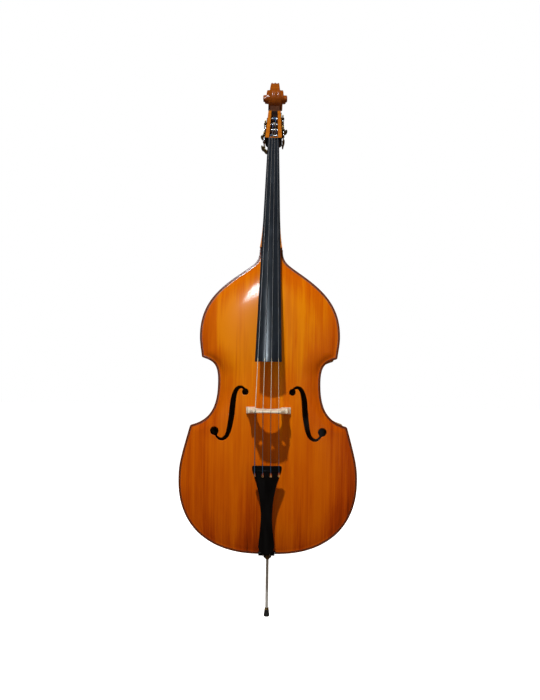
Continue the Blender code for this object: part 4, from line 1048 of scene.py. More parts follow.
def make_bridge():
    base = PLATE_FRONT - ARCH_HEIGHT
    outline = bridge_outline(base)
    middle, half_sizes = (np.array(pair) for pair in KIDNEY)
    kidney = (middle + circle(full_turn(40), half_sizes)) * MM
    kidney[:, 0] += 0.0018 * np.sin((kidney[:, 1] - middle[1] * MM) * 150)
    half_heart = smooth_line(np.array(BRIDGE_HEART) * MM, 6)
    holes = [kidney, mirrored(kidney), np.vstack([half_heart, mirrored(half_heart)[1:-1]])]
    edges = (outline, *holes)
    rims = [closed(line) for line in edges]
    spots = hex_grid((-0.082, 0.0), (0.082, 0.165), 0.0042)
    spots = spots[inside(spots, outline) & (distance_to(spots, rims) > 0.0026)]
    for hole in holes:
        spots = spots[~inside(spots, hole)]
    loops = [
        ring_inside(line, amount, rims, outline, holes)
        for amount in (0.0005, BRIDGE_ROUND) for line in edges
    ]
    points, triangles = triangulated(outline, holes, loops, spots)
    share = points[:, 1] / (base - BRIDGE_TOP)
    half = (BRIDGE_THICKNESS[0] * (1 - share) + BRIDGE_THICKNESS[1] * share) / 2
    half -= round_off(distance_to(points, rims), BRIDGE_ROUND)
    crossing = BODY_FOOT + BRIDGE_HEIGHT
    space, faces = two_sided(
        points, triangles, -half, half,
        lambda flat, up: np.stack([flat[:, 0], base - flat[:, 1], crossing + up], axis=1),
    )
    piece(
        "bridge_carved", space, faces, BRIDGE_WOOD, smooth=50, slot="bridge_maple", replaces=("bridge",),
    )


def board_top(height):
    return on_line(height, BOARD_END, NUT_HEIGHT, BOARD_END_Y, NUT_Y + 0.0010)


def tail_front(height):
    return on_line(height, TAIL_END, TAIL_TOP, TAIL_END_Y, TAIL_TOP_Y)


def tail_back(height):
    return tail_front(height) + on_line(height, TAIL_END, TAIL_TOP, *TAIL_THICKNESS)


def crowned(half_width, front, back, height, radius=CROWN_RADIUS, foot=0.98, edge=0.0012, steps=28,
            dips=None):
    """A section at one height: a round front, sides and a flat back, with soft corners."""
    across = np.linspace(-half_width, half_width, steps + 1)
    level = front + crown_drop(across, radius)
    if dips:
        level = level + dips(across)
    side = level[-1]
    corners = [
        (half_width - edge * 0.3, side + edge * 0.15), (half_width, side + edge),
        (half_width * foot, back - edge), (half_width * foot - edge, back),
    ]
    ring = [*zip(across[1:-1], level[1:-1]), *corners, *((-x, y) for x, y in reversed(corners))]
    return [(x, y, height) for x, y in ring]


def make_fingerboard():
    rings = []
    for height in np.linspace(BOARD_END, NUT_HEIGHT, 25):
        top = board_top(height)
        half_width = on_line(height, BOARD_END, NUT_HEIGHT, *BOARD_HALF_WIDTHS)
        rings.append(crowned(half_width, top, top + BOARD_THICKNESS, height))
    loft(
        "fingerboard_planed", soft_ends(rings, 0.0009), BOARD_EBONY, slot="ebony",
        replaces=("fingerboard",), smooth=40,
    )


def make_nut():
    under = board_top(NUT_HEIGHT) + BOARD_THICKNESS
    low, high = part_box("nut")
    rings = []
    for share in np.linspace(0, 1, 7):
        front = NUT_Y + 0.0014 * (2 * share - 1) ** 2
        height = low.z + (high.z - low.z) * share
        rings.append(crowned(
            BOARD_HALF_WIDTHS[1], front, under, height, edge=0.0008, steps=90,
            dips=lambda across: string_dip(across, 4, 0.0006, 0.0008),
        ))
    loft("nut_shaped", soft_ends(rings, 0.0005), EBONY, slot="ebony", replaces=("nut",), smooth=40)


def make_tailpiece():
    rings = [
        crowned(
            half_width, tail_front(height), tail_back(height), height, TAIL_CROWN, 0.86,
            min(0.0022, half_width * 0.2), 24,
        )
        for height, half_width in smooth_line(TAIL_WIDTHS, 12)
    ]
    body = loft(
        "tailpiece_shaped", soft_ends(rings, 0.0012), EBONY, slot="ebony", replaces=("tailpiece",),
        smooth=40,
    )
    slot = [(0.0017, 0.0125), (0.0009, 0.0142), (-0.0009, 0.0142), (-0.0017, 0.0125)]
    keyhole = np.vstack([circle(np.radians(np.linspace(-215, 35, 24)), 0.0042), slot])
    cutters = []
    for letter, _, at_tail, *_ in STRINGS:
        rings = [[(x + at_tail, deep, z + SLOT_HEIGHT) for x, z in keyhole] for deep in (-0.30, -0.10)]
        cutters.append(loft(f"slot_cutter_{letter}", rings, EBONY, body=None))
    cut(body, cutters)

    profile = smooth_profile(
        [(-0.0024, -0.0014), (-0.0024, 0.0014), (0.002, 0.0022), (0.002, -0.0022)], 0.0009
    )
    rings = []
    for across in np.linspace(-RIDGE_HALF_WIDTH, RIDGE_HALF_WIDTH, 41):
        front = tail_front(RIDGE_HEIGHT) + crown_drop(across, TAIL_CROWN)
        front = front + string_dip(across, 2, 0.0007, 0.0011)
        rings.append([(across, front + deep, RIDGE_HEIGHT + up) for deep, up in profile])
    loft("tailpiece_ridge", soft_ends(rings, 0.0007), EBONY, slot="ebony", smooth=50)


def with_spacing(path, spacing):
    """The same path with points added along its long straight stretches."""
    found = [path[0]]
    for here, there in zip(path, path[1:]):
        count = max(int(np.linalg.norm(there - here) / spacing), 1)
        found += [here + (there - here) * (step + 1) / count for step in range(count)]
    return np.array(found)


def make_strings():
    """Each string from its slot over ridge, bridge and nut to its post, and its ball end."""
    sides = 12
    nut_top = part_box("nut")[1].z
    crossing = BODY_FOOT + BRIDGE_HEIGHT
    for letter, radius, at_tail, at_bridge, at_nut, at_post, up in STRINGS:
        sunk = float(crown_drop(at_tail, TAIL_CROWN))
        slot = tail_front(SLOT_HEIGHT) + sunk
        ridge = tail_front(RIDGE_HEIGHT) + sunk - 0.0018 - radius
        bridge = BRIDGE_TOP + float(crown_drop(at_bridge)) - radius
        nut = NUT_Y + float(crown_drop(at_nut)) - radius
        path = with_spacing(rounded_path([
            (at_tail, slot + 0.0065, SLOT_HEIGHT - 0.001), (at_tail, slot + 0.0012, SLOT_HEIGHT + 0.001),
            (at_tail, ridge, RIDGE_HEIGHT), (at_bridge, bridge, crossing - 0.002),
            (at_bridge, bridge, crossing + 0.002), (at_nut, nut, NUT_HEIGHT + 0.001),
            (at_nut, nut + 0.0006, nut_top - 0.001),
            from_head((at_post, POST_DEPTH - POST_RADIUS - radius, up)),
        ], 0.006), 0.03)
        middle = (path[:-1, 2] + path[1:, 2]) / 2
        silk = (middle < SILK_FOOT) | (middle > from_head((0, 0, up))[2] - 0.030)
        # Painted light: the stretch between bridge and the fingerboard's end gets the cream, lit copy,
        # the rest the grey, shaded copy.
        pale = (middle > crossing + 0.004) & (middle < BOARD_END + 0.012)
        cover = np.where(silk, 1, np.where(pale, 0, 2))
        tube(
            f"string_{letter}_wound", path, np.where(path[:, 2] < SILK_FOOT, radius * 1.12, radius),
            (WOUND_STEEL, BLUE_SILK, SHADED_WOUND), sides,
            marks=[*np.repeat(cover, sides), 1, 1], slot="string_metal", replaces=(f"string_{letter}",),
        )
        turned(
            f"ball_end_{letter}", (
                (0.0009, -0.0026), (0.0030, -0.0026), (0.0034, -0.0020), (0.0034, 0.0020),
                (0.0030, 0.0026), (0.0009, 0.0026),
            ), GOLD, axis="X", segments=24, hollow=True, slot="brass_fitting",
            place=(at_tail, slot + 0.0030, SLOT_HEIGHT - 0.0004),
        )


def make_tail_cable():
    """The cable, from the tailpiece over the saddle, under the body and round the endpin's plug."""
    radius, gap, half_gap = 0.0012, 0.0003, 0.0115
    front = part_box("saddle")[0].y - radius - gap
    under = BODY_FOOT - radius - 0.0006
    behind = tail_back(0.306) + radius + gap
    loop, groove = 0.0120 + radius + gap, 0.2697
    side = [
        (half_gap, behind, 0.306), (half_gap, max(behind, front), 0.290),
        (half_gap + 0.0005, front, 0.280), (half_gap + 0.001, front, 0.2690),
        (half_gap + 0.001, front + 0.0012, under + 0.0002), (half_gap + 0.0012, front + 0.0032, under),
        (half_gap + 0.0015, RIB_FRONT + 0.002, under), (loop, -0.012, groove), (loop, 0.0, groove),
    ]
    turn = [(x, y, groove) for x, y in circle(math.pi * np.arange(1, 16) / 16, loop)]
    path = side + turn + [(-x, y, z) for x, y, z in reversed(side)]
    tube(
        "tail_cable_stranded", rounded_path(path, 0.004, 5), radius, CABLE_STEEL,
        slot="cable_steel", replaces=("tail_cable",),
    )


# ================================================================ endpin
def make_plug():
    """The plug in the end block, the collar below it and the eyelet in its front."""
    knob_height = sum(corner.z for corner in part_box("thumbscrew")) / 2
    low, high = (corner.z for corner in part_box("endpin_collar"))
    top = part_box("endpin_plug")[1].z
    bore = 0.00575
    flange = BODY_FOOT + OVERHANG - 0.0003
    plug = turned("endpin_plug_turned", (
        (bore, top), (0.0135, top), (0.0145, top - 0.001), (0.0158, flange + 0.002),
        (0.0158, flange + 0.0006), (0.0120, 0.2719), (0.0120, 0.2675),
        (0.0142, 0.2668), (0.0150, 0.2658), (0.0150, 0.2605), (0.0145, 0.2600), (0.0145, 0.2590),
        (0.0150, 0.2585), (0.0150, 0.2300), (0.0147, 0.2285), (0.0139, 0.2273), (0.0128, 0.2268),
        (0.0100, 0.2268), (0.0094, 0.2274), (0.0094, 0.2405), (bore, 0.2405),
    ), GLOSS_BLACK, hollow=True, slot="black_fitting", replaces=("endpin_plug",))
    cut(plug, [turned(
        "screw_hole", ((0.0033, -0.03), (0.0033, 0.0)), GLOSS_BLACK, axis="X", segments=24,
        place=(0, 0, knob_height), body=None,
    )])
    turned("endpin_collar_turned", (
        (bore, high), (0.0083, high), (0.0088, high - 0.0005), (0.0088, 0.2362), (0.0083, 0.2357),
        (0.0083, 0.2347), (0.0088, 0.2342), (0.0088, low + 0.0040), (0.0085, low + 0.0018),
        (0.0076, low + 0.0002), (0.0070, low), (bore + 0.0005, low), (bore, low + 0.0005),
    ), BRASS, hollow=True, slot="brass_fitting", replaces=("endpin_collar",))
    turned("plug_eyelet", (
        (0.0026, -0.0143), (0.0026, -0.0163), (0.0031, -0.0169), (0.0045, -0.0169), (0.0054, -0.0163),
        (0.0056, -0.0152), (0.0056, -0.0138),
    ), BRASS, axis="Y", segments=32, place=(0, 0, 0.2345), hollow=True, slot="brass_fitting")
    make_thumbscrew(knob_height)


def make_thumbscrew(height):
    """The screw with its knurled head, whose rows marked 1 are waved."""
    around = 96
    waves = 0.055 * (0.5 + 0.5 * np.cos(24 * TURN * (np.arange(around) + 0.5) / around))
    profile = (
        (0.0028, -0.00585, 0), (0.0028, -0.0182, 0), (0.0070, -0.0186, 0), (0.0078, -0.0190, 0),
        (0.0088, -0.0197, 1), (0.0094, -0.0212, 1), (0.0094, -0.0330, 1), (0.0088, -0.0344, 1),
        (0.0076, -0.0349, 0), (0.0050, -0.0350, 0), (0.0042, -0.0344, 0), (0.0005, -0.0343, 0),
    )
    rings = [
        ring_of(radius * (1 - waves * waved), along, around, "X", (0, 0, height))
        for radius, along, waved in profile
    ]
    loft(
        "thumbscrew_knurled", rings, GLOSS_BLACK, body="thumbscrew", slot="black_fitting",
        replaces=("thumbscrew",), smooth=30,
    )


def make_rod():
    """The endpin's notched rod, its ferrule and its rubber tip."""
    low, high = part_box("endpin_rod")
    radius, depth = high.x, 0.0009
    profile = [(radius - 0.001, low.z), (radius, low.z + 0.001)]
    for notch in np.arange(0.0560, high.z - 0.02, 0.034):
        profile += [
            (radius, notch - 0.0014), (radius - depth, notch - 0.0006),
            (radius - depth, notch + 0.0006), (radius, notch + 0.0014),
        ]
    profile += [
        (radius, high.z - 0.002), (radius - 0.0008, high.z - 0.0006), (radius - 0.002, high.z),
    ]
    turned(
        "endpin_rod_notched", profile, ROD_STEEL, body="endpin", slot="rod_steel",
        replaces=("endpin_rod",),
    )
    socket = 0.00555
    foot, top = (corner.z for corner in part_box("endpin_ferrule"))
    turned("endpin_ferrule_turned", (
        (socket, foot), (socket, top), (0.0062, top), (0.0068, top - 0.0005), (0.0070, top - 0.0016),
        (0.0078, top - 0.0021), (0.0080, top - 0.0030), (0.0080, foot + 0.0014), (0.0077, foot + 0.0009),
        (0.0080, foot + 0.0004), (0.0080, foot),
    ), BRASS, body="endpin", hollow=True, slot="brass_fitting", replaces=("endpin_ferrule",))
    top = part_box("endpin_tip")[1].z
    turned("endpin_tip_moulded", (
        (socket, low.z - 0.0005), (socket, top), (0.0078, top), (0.0085, top - 0.0006),
        (0.0087, top - 0.0025), (0.0095, 0.0160), (0.0092, 0.0150), (0.0099, 0.0140), (0.0104, 0.0105),
        (0.0101, 0.0095), (0.0108, 0.0085), (0.0112, 0.0060), (0.0111, 0.0030), (0.0104, 0.0010),
        (0.0090, 0.0),
    ), RUBBER, body="endpin", slot="rubber", replaces=("endpin_tip",))


# ================================================================ neck and head
# Sections of the neck: height, half width, how far back, roundness of the back
NECK_SECTIONS = (
    (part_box("neck_block")[1].z + 0.0006, 0.0410, 0.0425, 3.0),
    (1.402, 0.0400, 0.0425, 3.0), (1.412, 0.0385, 0.0405, 2.8), (1.424, 0.0370, 0.0290, 2.6),
    (1.438, 0.0355, 0.0060, 2.4), (1.452, 0.0342, -0.0240, 2.3), (1.468, 0.0332, -0.0500, 2.2),
    (1.490, 0.0320, -0.0700, 2.1), (1.530, 0.0303, -0.0810, 2.0), (1.640, 0.0270, -0.0560, 2.0),
    (1.760, 0.0233, -0.0300, 2.0), (1.8310, 0.0212, -0.0135, 2.0),
)
# The pegbox's back, the floor of its cavity and its front: up, deep
PEGBOX_BACK = (
    (-0.010, 0.0435), (0.0, 0.0440), (0.040, 0.0462), (0.110, 0.0442), (0.160, 0.0402),
    (0.190, 0.0385), (0.206, 0.0420), (0.222, 0.0475),
)
PEGBOX_FLOOR = (
    (0.0055, 0.0), (0.0060, 0.006), (0.0160, 0.034), (0.1540, 0.032), (0.1600, 0.020), (0.1630, 0.0),
)
PEGBOX_FRONT = (
    (-0.0007, 0.0130), (-0.0003, 0.0), (0.1620, 0.0), (0.1740, 0.0018), (0.1920, 0.0068),
    (0.2060, 0.0100), (0.222, 0.0120),
)
CAVITY_ENDS = (0.0055, 0.1630)
THROAT = 0.1632  # where the throat under the scroll starts
FOOT_HALF_WIDTH = 0.0214
# Half width of the scroll after so many turns from its top
SCROLL_WIDTHS = smooth_line((
    (-0.375, 0.0222), (-0.25, 0.0198), (-0.10, 0.0168), (0.0, 0.0152), (0.15, 0.0148), (0.30, 0.0200),
    (0.39, 0.0240), (0.54, 0.0272), (0.80, 0.0290), (1.15, 0.0318), (1.50, 0.0378), (1.80, 0.0435),
    (2.0, 0.0466),
), 8)
SCROLL_STEPS = 96  # to a turn
SCROLL_FIRST, SCROLL_LAST = -36, 192
CHAMFER = 0.0012
EYE_WIDTH = 0.0475


def make_neck():
    rings = []
    for height, half_width, back, roundness in smooth_line(NECK_SECTIONS, 6):
        front = board_top(height) + BOARD_THICKNESS + 0.0002
        side = front + 0.004
        angles = math.pi * np.arange(33) / 32
        across = np.sign(np.cos(angles)) * np.abs(np.cos(angles)) ** (2 / roundness)
        deep = np.clip(np.sin(angles), 0, 1) ** (2 / roundness)
        ring = [(half_width * x, side + (back - side) * y, height) for x, y in zip(across, deep)]
        rings.append([*ring, (-half_width, front, height), (half_width, front, height)])
    loft("neck_shaft", rings, MAPLE_NECK, slot="maple_varnish", replaces=("neck",), smooth=45)


def cheek(up):
    return CHEEK[0] - CHEEK[1] * up


def cavity_half_width(up):
    return CAVITY[0] - CAVITY[1] * up


def in_cavity(up):
    return CAVITY_ENDS[0] < up < CAVITY_ENDS[1]


def eased(value, start, span):
    """From 0 at start to 1 at start + span, smoothly."""
    return float(smooth_step(np.array((value - start) / span)))


def pegbox_section(up):
    """The pegbox's section at one height, from the middle of its front round to the right."""
    front = np.interp(up, *zip(*PEGBOX_FRONT))
    back = np.interp(up, *zip(*smooth_line(PEGBOX_BACK, 6)))
    floor = max(np.interp(up, *zip(*PEGBOX_FLOOR)), front) if in_cavity(up) else front
    wide = FOOT_HALF_WIDTH + (cheek(max(up, 0.0)) - FOOT_HALF_WIDTH) * eased(up, -0.0045, 0.0055)
    narrow = float(np.interp(up, (0.163, 0.172), (wide, 0.0190)))
    inner = min(cavity_half_width(up), wide - 0.005)
    depth = floor - front
    lip, corner = min(0.0012, depth * 0.4), min(0.004, depth * 0.3)
    bend = 0.0125
    flute = 0.0022 * eased(up, 0.10, 0.08)
    right = [
        (0.0, floor), (inner * 0.6, floor), (inner - corner, floor),
        (inner - corner * 0.3, floor - corner * 0.3), (inner, floor - corner), (inner, front + lip),
        (inner + 0.0004, front + lip * 0.3), (inner + 0.0012, front), (narrow - 0.0014, front),
        (narrow - 0.0004, front + 0.0004), (narrow, front + 0.0014),
        ((narrow * 3 + wide) / 4, front + 0.010), (wide, front + 0.016),
        *((wide - bend, back - bend) + circle(math.pi / 2 * np.arange(9) / 8, bend)),
        (wide * 0.35, back - flute), (wide * 0.12, back - flute * 0.15), (0.0, back),
    ]
    return [*right, *((-x, deep) for x, deep in reversed(right[1:-1]))]


def make_pegbox():
    """The open box: cheeks, back and the throat under the scroll, as one lofted skin."""
    levels = np.unique(np.concatenate([
        [-0.0055, -0.0045, -0.0035, -0.0022, -0.0010, -0.0004, 0.0, 0.0012, 0.0030, 0.0054],
        [0.0056, 0.0061, 0.0080, 0.0110, 0.0160], np.arange(0.020, 0.154, 0.006),
        [0.1540, 0.1570, 0.1600, 0.1615, 0.1629, THROAT], np.arange(0.166, 0.223, 0.004),
    ]))
    rings = [from_head([(x, deep, up) for x, deep in pegbox_section(up)]) for up in levels]
    size = len(rings[0])
    varnish, dark, ebony = range(3)
    marks = []
    for low, high in zip(levels, levels[1:]):
        # Below the nut's level the outside is black: painted shade on the shoulders that face down.
        outside = ebony if high < 0.0015 else varnish
        # The throat under the scroll and the cavity's floor and walls get the painted shade.
        count = 0
        if high > THROAT:
            count = 12
        elif high < THROAT and (in_cavity(low) or in_cavity(high)):
            count = 5
        marks += [dark] * count + [outside] * (size - 2 * count) + [dark] * count
    # The lowest end is black too, as painted shade; the top end is varnished.
    loft(
        "pegbox_carved", rings, (MAPLE_HEAD, SHADE_PAINTED_CAVITY, EBONY), marks=[*marks, ebony, varnish],
        slot="maple_varnish", smooth=40,
    )


def scroll_radius(turn):
    """Radius of the scroll's outer edge, by turns from the top of the head."""
    lean = 0.135 * turn + 0.865 * (math.hypot(turn, 0.08) - 0.08)
    return SCROLL_RADIUS * math.exp(-0.368 * lean - 0.21 * max(turn, 0.0) ** 2)


def strip(faces, here, there):
    """Faces between two rows of points of one length."""
    faces += list(zip(here, here[1:], there[1:], there))


def make_scroll():
    """The spiral: a rim with two flutes, and on each side a channel that climbs to the eye."""
    points, faces, sides = [], [], []

    def put(across, radius, row):
        angle = TURN * row / SCROLL_STEPS + math.pi / 2
        points.append((
            across, SCROLL_CENTRE[0] + radius * math.cos(angle),
            SCROLL_CENTRE[1] + radius * math.sin(angle),
        ))
        return len(points) - 1

    for sign in (1, -1):
        edge, channel = {}, {}
        for row in range(SCROLL_FIRST, SCROLL_LAST + 1):
            turn = row / SCROLL_STEPS
            radius = scroll_radius(turn)
            wide = float(np.interp(turn, SCROLL_WIDTHS[:, 0], SCROLL_WIDTHS[:, 1]))
            inner = max(scroll_radius(turn + 1) if turn <= 1 else EYE_RADIUS, EYE_RADIUS)
            band = max(radius - inner, 0.0002)
            chamfer = min(CHAMFER, band / 3)
            edge[row] = put(sign * (wide - chamfer), radius, row)
            channel[row] = [put(sign * wide, radius - chamfer, row)]
            for share in (0.12, 0.30, 0.50, 0.68, 0.84, 0.94):
                dip = min(0.0045, band * 0.22) * math.sin(math.pi / 2 * min(share / 0.84, 1.0)) ** 1.5
                channel[row].append(put(sign * (wide - dip), radius - band * share, row))
        rows = range(1, SCROLL_STEPS + 1)
        eye = [put(sign * (EYE_WIDTH - CHAMFER), EYE_RADIUS, row) for row in rows]
        eye_top = [put(sign * EYE_WIDTH, EYE_RADIUS - CHAMFER, row) for row in rows]

        def whole_row(row):
            above = edge[row + SCROLL_STEPS] if row <= SCROLL_STEPS else eye[row - SCROLL_STEPS - 1]
            return [edge[row], *channel[row], above]

        for row in range(SCROLL_FIRST, SCROLL_LAST):
            strip(faces, whole_row(row), whole_row(row + 1))
        faces.append((edge[SCROLL_LAST], *channel[SCROLL_LAST], eye[-1], eye[0]))
        middle = [put(sign * (EYE_WIDTH + 0.0008), EYE_RADIUS * 0.5, row) for row in rows]
        centre = put(sign * (EYE_WIDTH + 0.0010), 0.0, 0)
        strip(faces, eye + eye[:1], eye_top + eye_top[:1])
        strip(faces, eye_top + eye_top[:1], middle + middle[:1])
        faces += [(here, there, centre) for here, there in zip(middle, middle[1:] + middle[:1])]
        sides.append((edge, channel))

    (right_edge, right_channel), (left_edge, left_channel) = sides
    rim = []
    for row in range(SCROLL_FIRST, SCROLL_FIRST + SCROLL_STEPS + 1):
        turn = row / SCROLL_STEPS
        wide = float(np.interp(turn, SCROLL_WIDTHS[:, 0], SCROLL_WIDTHS[:, 1])) - CHAMFER
        depth = 0.0026 * eased(turn, -0.375, 0.12)
        inner = [
            put(wide * level, scroll_radius(turn) - depth * abs(math.sin(math.pi * level)) ** 1.4, row)
            for level in np.linspace(1, -1, 25)[1:-1]
        ]
        rim.append([right_edge[row], *inner, left_edge[row]])
    for here, there in zip(rim, rim[1:]):
        strip(faces, here, there)
    first = SCROLL_FIRST
    faces.append((*rim[0], *left_channel[first], *rim[-1][::-1], *right_channel[first][::-1]))
    piece("scroll_carved", from_head(points), faces, MAPLE_HEAD, slot="maple_varnish", smooth=38)


# ================================================================ tuning machines
WORM_DISTANCE = 0.0188
GEAR_OFFSET = 0.0072
GEAR_THICKNESS = 0.006
KEY_DEPTH = 0.0548
KEY_SIDE = ((2.4, 3.5), (9, 6.6), (17, 5), (20.5, 9), (21, 16), (18, 24), (11, 27), (4, 25), (0, 23.5))


def make_machine(letter, side, up, angle):
    gear_at = side * (cheek(up) + GEAR_OFFSET)
    make_machine_plate(letter, side, up)
    make_gear(letter, gear_at, up)
    make_worm(letter, gear_at, up)
    make_post(letter, side, gear_at, up)
    make_key(letter, gear_at, up, angle)


def make_machine_plate(letter, side, up):
    """The plate with rounded ends, its two ears and four screws, as one piece."""
    near, far = POST_DEPTH - 0.017, POST_DEPTH + 0.0175
    low, high = up - 0.0295, up + 0.0195
    outline = smooth_profile([(near, low), (far, low), (far, high), (near, high)], 0.005, 6)
    middle = outline.mean(axis=0)
    shapes = [skin([
        [(level, *(middle + (spot - middle) * size)) for spot in outline]
        for level, size in ((0.0003, 1.0), (0.0019, 1.0), (0.0023, 0.975))
    ])]
    low, high = -WORM_DISTANCE - 0.0042, -WORM_DISTANCE + 0.0042
    ear = smooth_profile([(0.0012, low), (0.0112, low), (0.0112, high), (0.0012, high)], 0.0036, 5)
    start = math.atan2(ear[0][1] + WORM_DISTANCE, ear[0][0] - GEAR_OFFSET)
    hole = circle(full_turn(len(ear)) + start, 0.0031) + (GEAR_OFFSET, -WORM_DISTANCE)
    for near, far in ((-0.0168, -0.0128), (0.0132, 0.0172)):
        shapes.append(skin([
            [(x, POST_DEPTH + deep, up + z) for x, z in line]
            for line, deep in ((hole, near), (ear, near), (ear, far), (hole, far))
        ], around=True))
    head = ((0.0022, 0.0020), (0.0022, 0.0026), (0.0015, 0.0032), (0.0003, 0.0034))
    for deep, high in ((-0.0135, 0.0160), (0.0140, 0.0160), (-0.0135, -0.0262), (0.0140, -0.0262)):
        place = (0, POST_DEPTH + deep, up + high)
        shapes.append(skin([ring_of(radius, level, 16, "X", place) for radius, level in head]))
    points, faces = joined(shapes)
    on_cheek = [(side * (cheek(z) + x), y, z) for x, y, z in points]
    piece(
        f"machine_plate_{letter}_pressed", from_head(on_cheek), faces, DARK_BRASS,
        slot="machine_brass", replaces=(f"machine_plate_{letter}",),
    )


def make_gear(letter, gear_at, up):
    """A brass wheel of twenty teeth with a raised hub."""
    tip, root, teeth = 0.0150, 0.0128, 20
    flank = (
        (0.36, root), (0.30, root + 0.0003), (0.22, root + 0.0012), (0.15, tip - 0.0002), (0.10, tip),
    )
    tooth = [(-share, radius) for share, radius in flank] + list(reversed(flank))
    outline = np.vstack([
        circle(np.array([TURN * (number + share) / teeth]), radius)
        for number in range(teeth) for share, radius in tooth
    ])
    around = unit(outline)
    half = GEAR_THICKNESS / 2
    face = (
        (around * 0.0042, half), (around * 0.0075, half), (around * 0.0079, half - 0.0009),
        (around * 0.0112, half - 0.0009), (around * 0.0116, half - 0.0003),
        (outline * 0.985, half - 0.0003), (outline, half - 0.0007),
    )
    profile = [(line, -level) for line, level in face] + list(reversed(face))
    rings = [
        from_head([(gear_at + level, POST_DEPTH + deep, up + high) for deep, high in line])
        for line, level in profile
    ]
    loft(
        f"gear_{letter}_cut", rings, BRASS, around=True, body=f"post_{letter}_body",
        slot="machine_brass", replaces=(f"gear_{letter}",),
    )


def make_worm(letter, gear_at, up):
    """The worm's shaft with its right-handed thread."""
    shaft, core, crest, pitch, around = 0.0026, 0.0034, 0.0049, 0.00446, 36
    low, high = 0.0080, 0.0325
    angles = full_turn(around)
    rows = [
        (shaft, 0.0020, 0), (shaft, 0.0078, 0), (core, low, 0),
        *((core, deep, 1) for deep in np.arange(low + 0.0005, high, 0.00037)),
        (core, high, 0), (shaft, high + 0.0002, 0), (shaft, KEY_DEPTH - 0.0003, 0),
    ]
    rings = []
    for radius, deep, threaded in rows:
        phase = (deep - POST_DEPTH - pitch / 2) / pitch - angles / TURN
        ridge = np.clip(0.5 + 0.95 * np.cos(TURN * phase), 0, 1) * threaded
        fade = min((deep - low) / 0.002, (high - deep) / 0.002, 1.0)
        size = radius + (crest - core) * ridge * fade
        rings.append(from_head(np.stack([
            gear_at + size * np.sin(angles), np.full(around, deep),
            up - WORM_DISTANCE + size * np.cos(angles),
        ], axis=1)))
    loft(
        f"worm_{letter}_threaded", rings, BRIGHT_STEEL, body=f"key_{letter}_body", slot="machine_steel",
        replaces=(f"worm_{letter}",),
    )


def make_post(letter, side, gear_at, up):
    """The string post across the box, and the string's turns wound on it."""
    far = side * cavity_half_width(up)
    seat, cap = (gear_at + way * side * (GEAR_THICKNESS / 2 + 0.0003) for way in (-1, 1))
    profile = (
        (0.0030, -far - side * 0.0078), (0.0050, -far - side * 0.0076),
        (POST_RADIUS, -far - side * 0.0070), (POST_RADIUS, seat - side * 0.0005), (0.0050, seat),
        (0.0038, seat), (0.0038, cap), (0.0050, cap), (0.0052, cap + side * 0.0004),
        (0.0052, cap + side * 0.0014), (0.0044, cap + side * 0.0023), (0.0015, cap + side * 0.0023),
        (0.0012, cap + side * 0.0012), (0.0003, cap + side * 0.0012),
    )
    turned(
        f"post_{letter}_turned", profile, BRIGHT_STEEL, axis="X", segments=36,
        place=(0, POST_DEPTH, up), to_world=from_head, body=f"post_{letter}_body",
        slot="machine_steel", replaces=(f"post_{letter}",),
    )
    radius, start = next((row[1], row[5]) for row in STRINGS if row[0] == letter)
    turns = max(int(0.0072 / (2.1 * radius)), 2)
    angles = TURN * np.linspace(0, turns, turns * 20 + 1)
    wound = POST_RADIUS + radius
    coil = np.stack([
        start - side * 2.08 * radius * angles / TURN, POST_DEPTH - wound * np.cos(angles),
        up + wound * np.sin(angles),
    ], axis=1)
    tube(
        f"winding_{letter}", from_head(coil), radius, BLUE_SILK if letter == "d" else WOUND_STEEL,
        sides=10, body=f"post_{letter}_body", slot="string_metal",
    )


def make_key(letter, gear_at, up, angle):
    """The two-winged key on its boss."""
    wing = smooth_line(np.array(KEY_SIDE) * MM, 5)
    outline = np.vstack([wing, mirrored(wing)[1:]])
    middle, half = np.array([0.0, 0.015]), 0.0021
    edge = ((half, 0.90), (half - 0.0007, 0.955), (half - 0.0014, 0.985), (0.0, 1.0))
    wings = skin([
        [(x, deep, level) for x, deep in middle + (outline - middle) * size]
        for level, size in [*((-level, size) for level, size in edge), *reversed(edge)]
    ])
    boss = skin([ring_of(radius, along, 24, "Y") for radius, along in (
        (0.0046, 0.0), (0.0049, 0.0006), (0.0049, 0.0022), (0.0042, 0.0030), (0.0042, 0.0095),
        (0.0036, 0.0125), (0.0024, 0.0140),
    )])
    points, faces = joined([wings, boss])
    cos, sin = math.cos(math.radians(angle)), math.sin(math.radians(angle))
    placed = [
        (gear_at + x * cos + z * sin, KEY_DEPTH + deep, up - WORM_DISTANCE - x * sin + z * cos)
        for x, deep, z in points
    ]
    piece(
        f"key_{letter}_cast", from_head(placed), faces, AGED_BRASS, body=f"key_{letter}_body",
        slot="machine_brass", replaces=(f"key_{letter}",), smooth=40,
    )


# ================================================================ stage
def make_floor(half=30):
    floor = bpy.data.materials.new("pale_floor")
    floor.use_nodes = True
    set_inputs(
        floor.node_tree.nodes["Principled BSDF"], Base_Color=(0.9, 0.9, 0.9, 1), Roughness=0.9,
        Specular_IOR_Level=0.1, Emission_Color=(1, 1, 1, 1), Emission_Strength=0.93,
    )
    mesh = bpy.data.meshes.new("floor")
    corners = [(-half, -half, 0), (half, -half, 0), (half, half, 0), (-half, half, 0)]
    mesh.from_pydata(corners, [], [(0, 1, 2, 3)])
    mesh.materials.append(floor)
    ground = bpy.data.objects.new("floor", mesh)
    bpy.context.scene.collection.objects.link(ground)
    # A white floor must not veil the dark varnish
    ground.visible_glossy = False
    ground.visible_diffuse = False


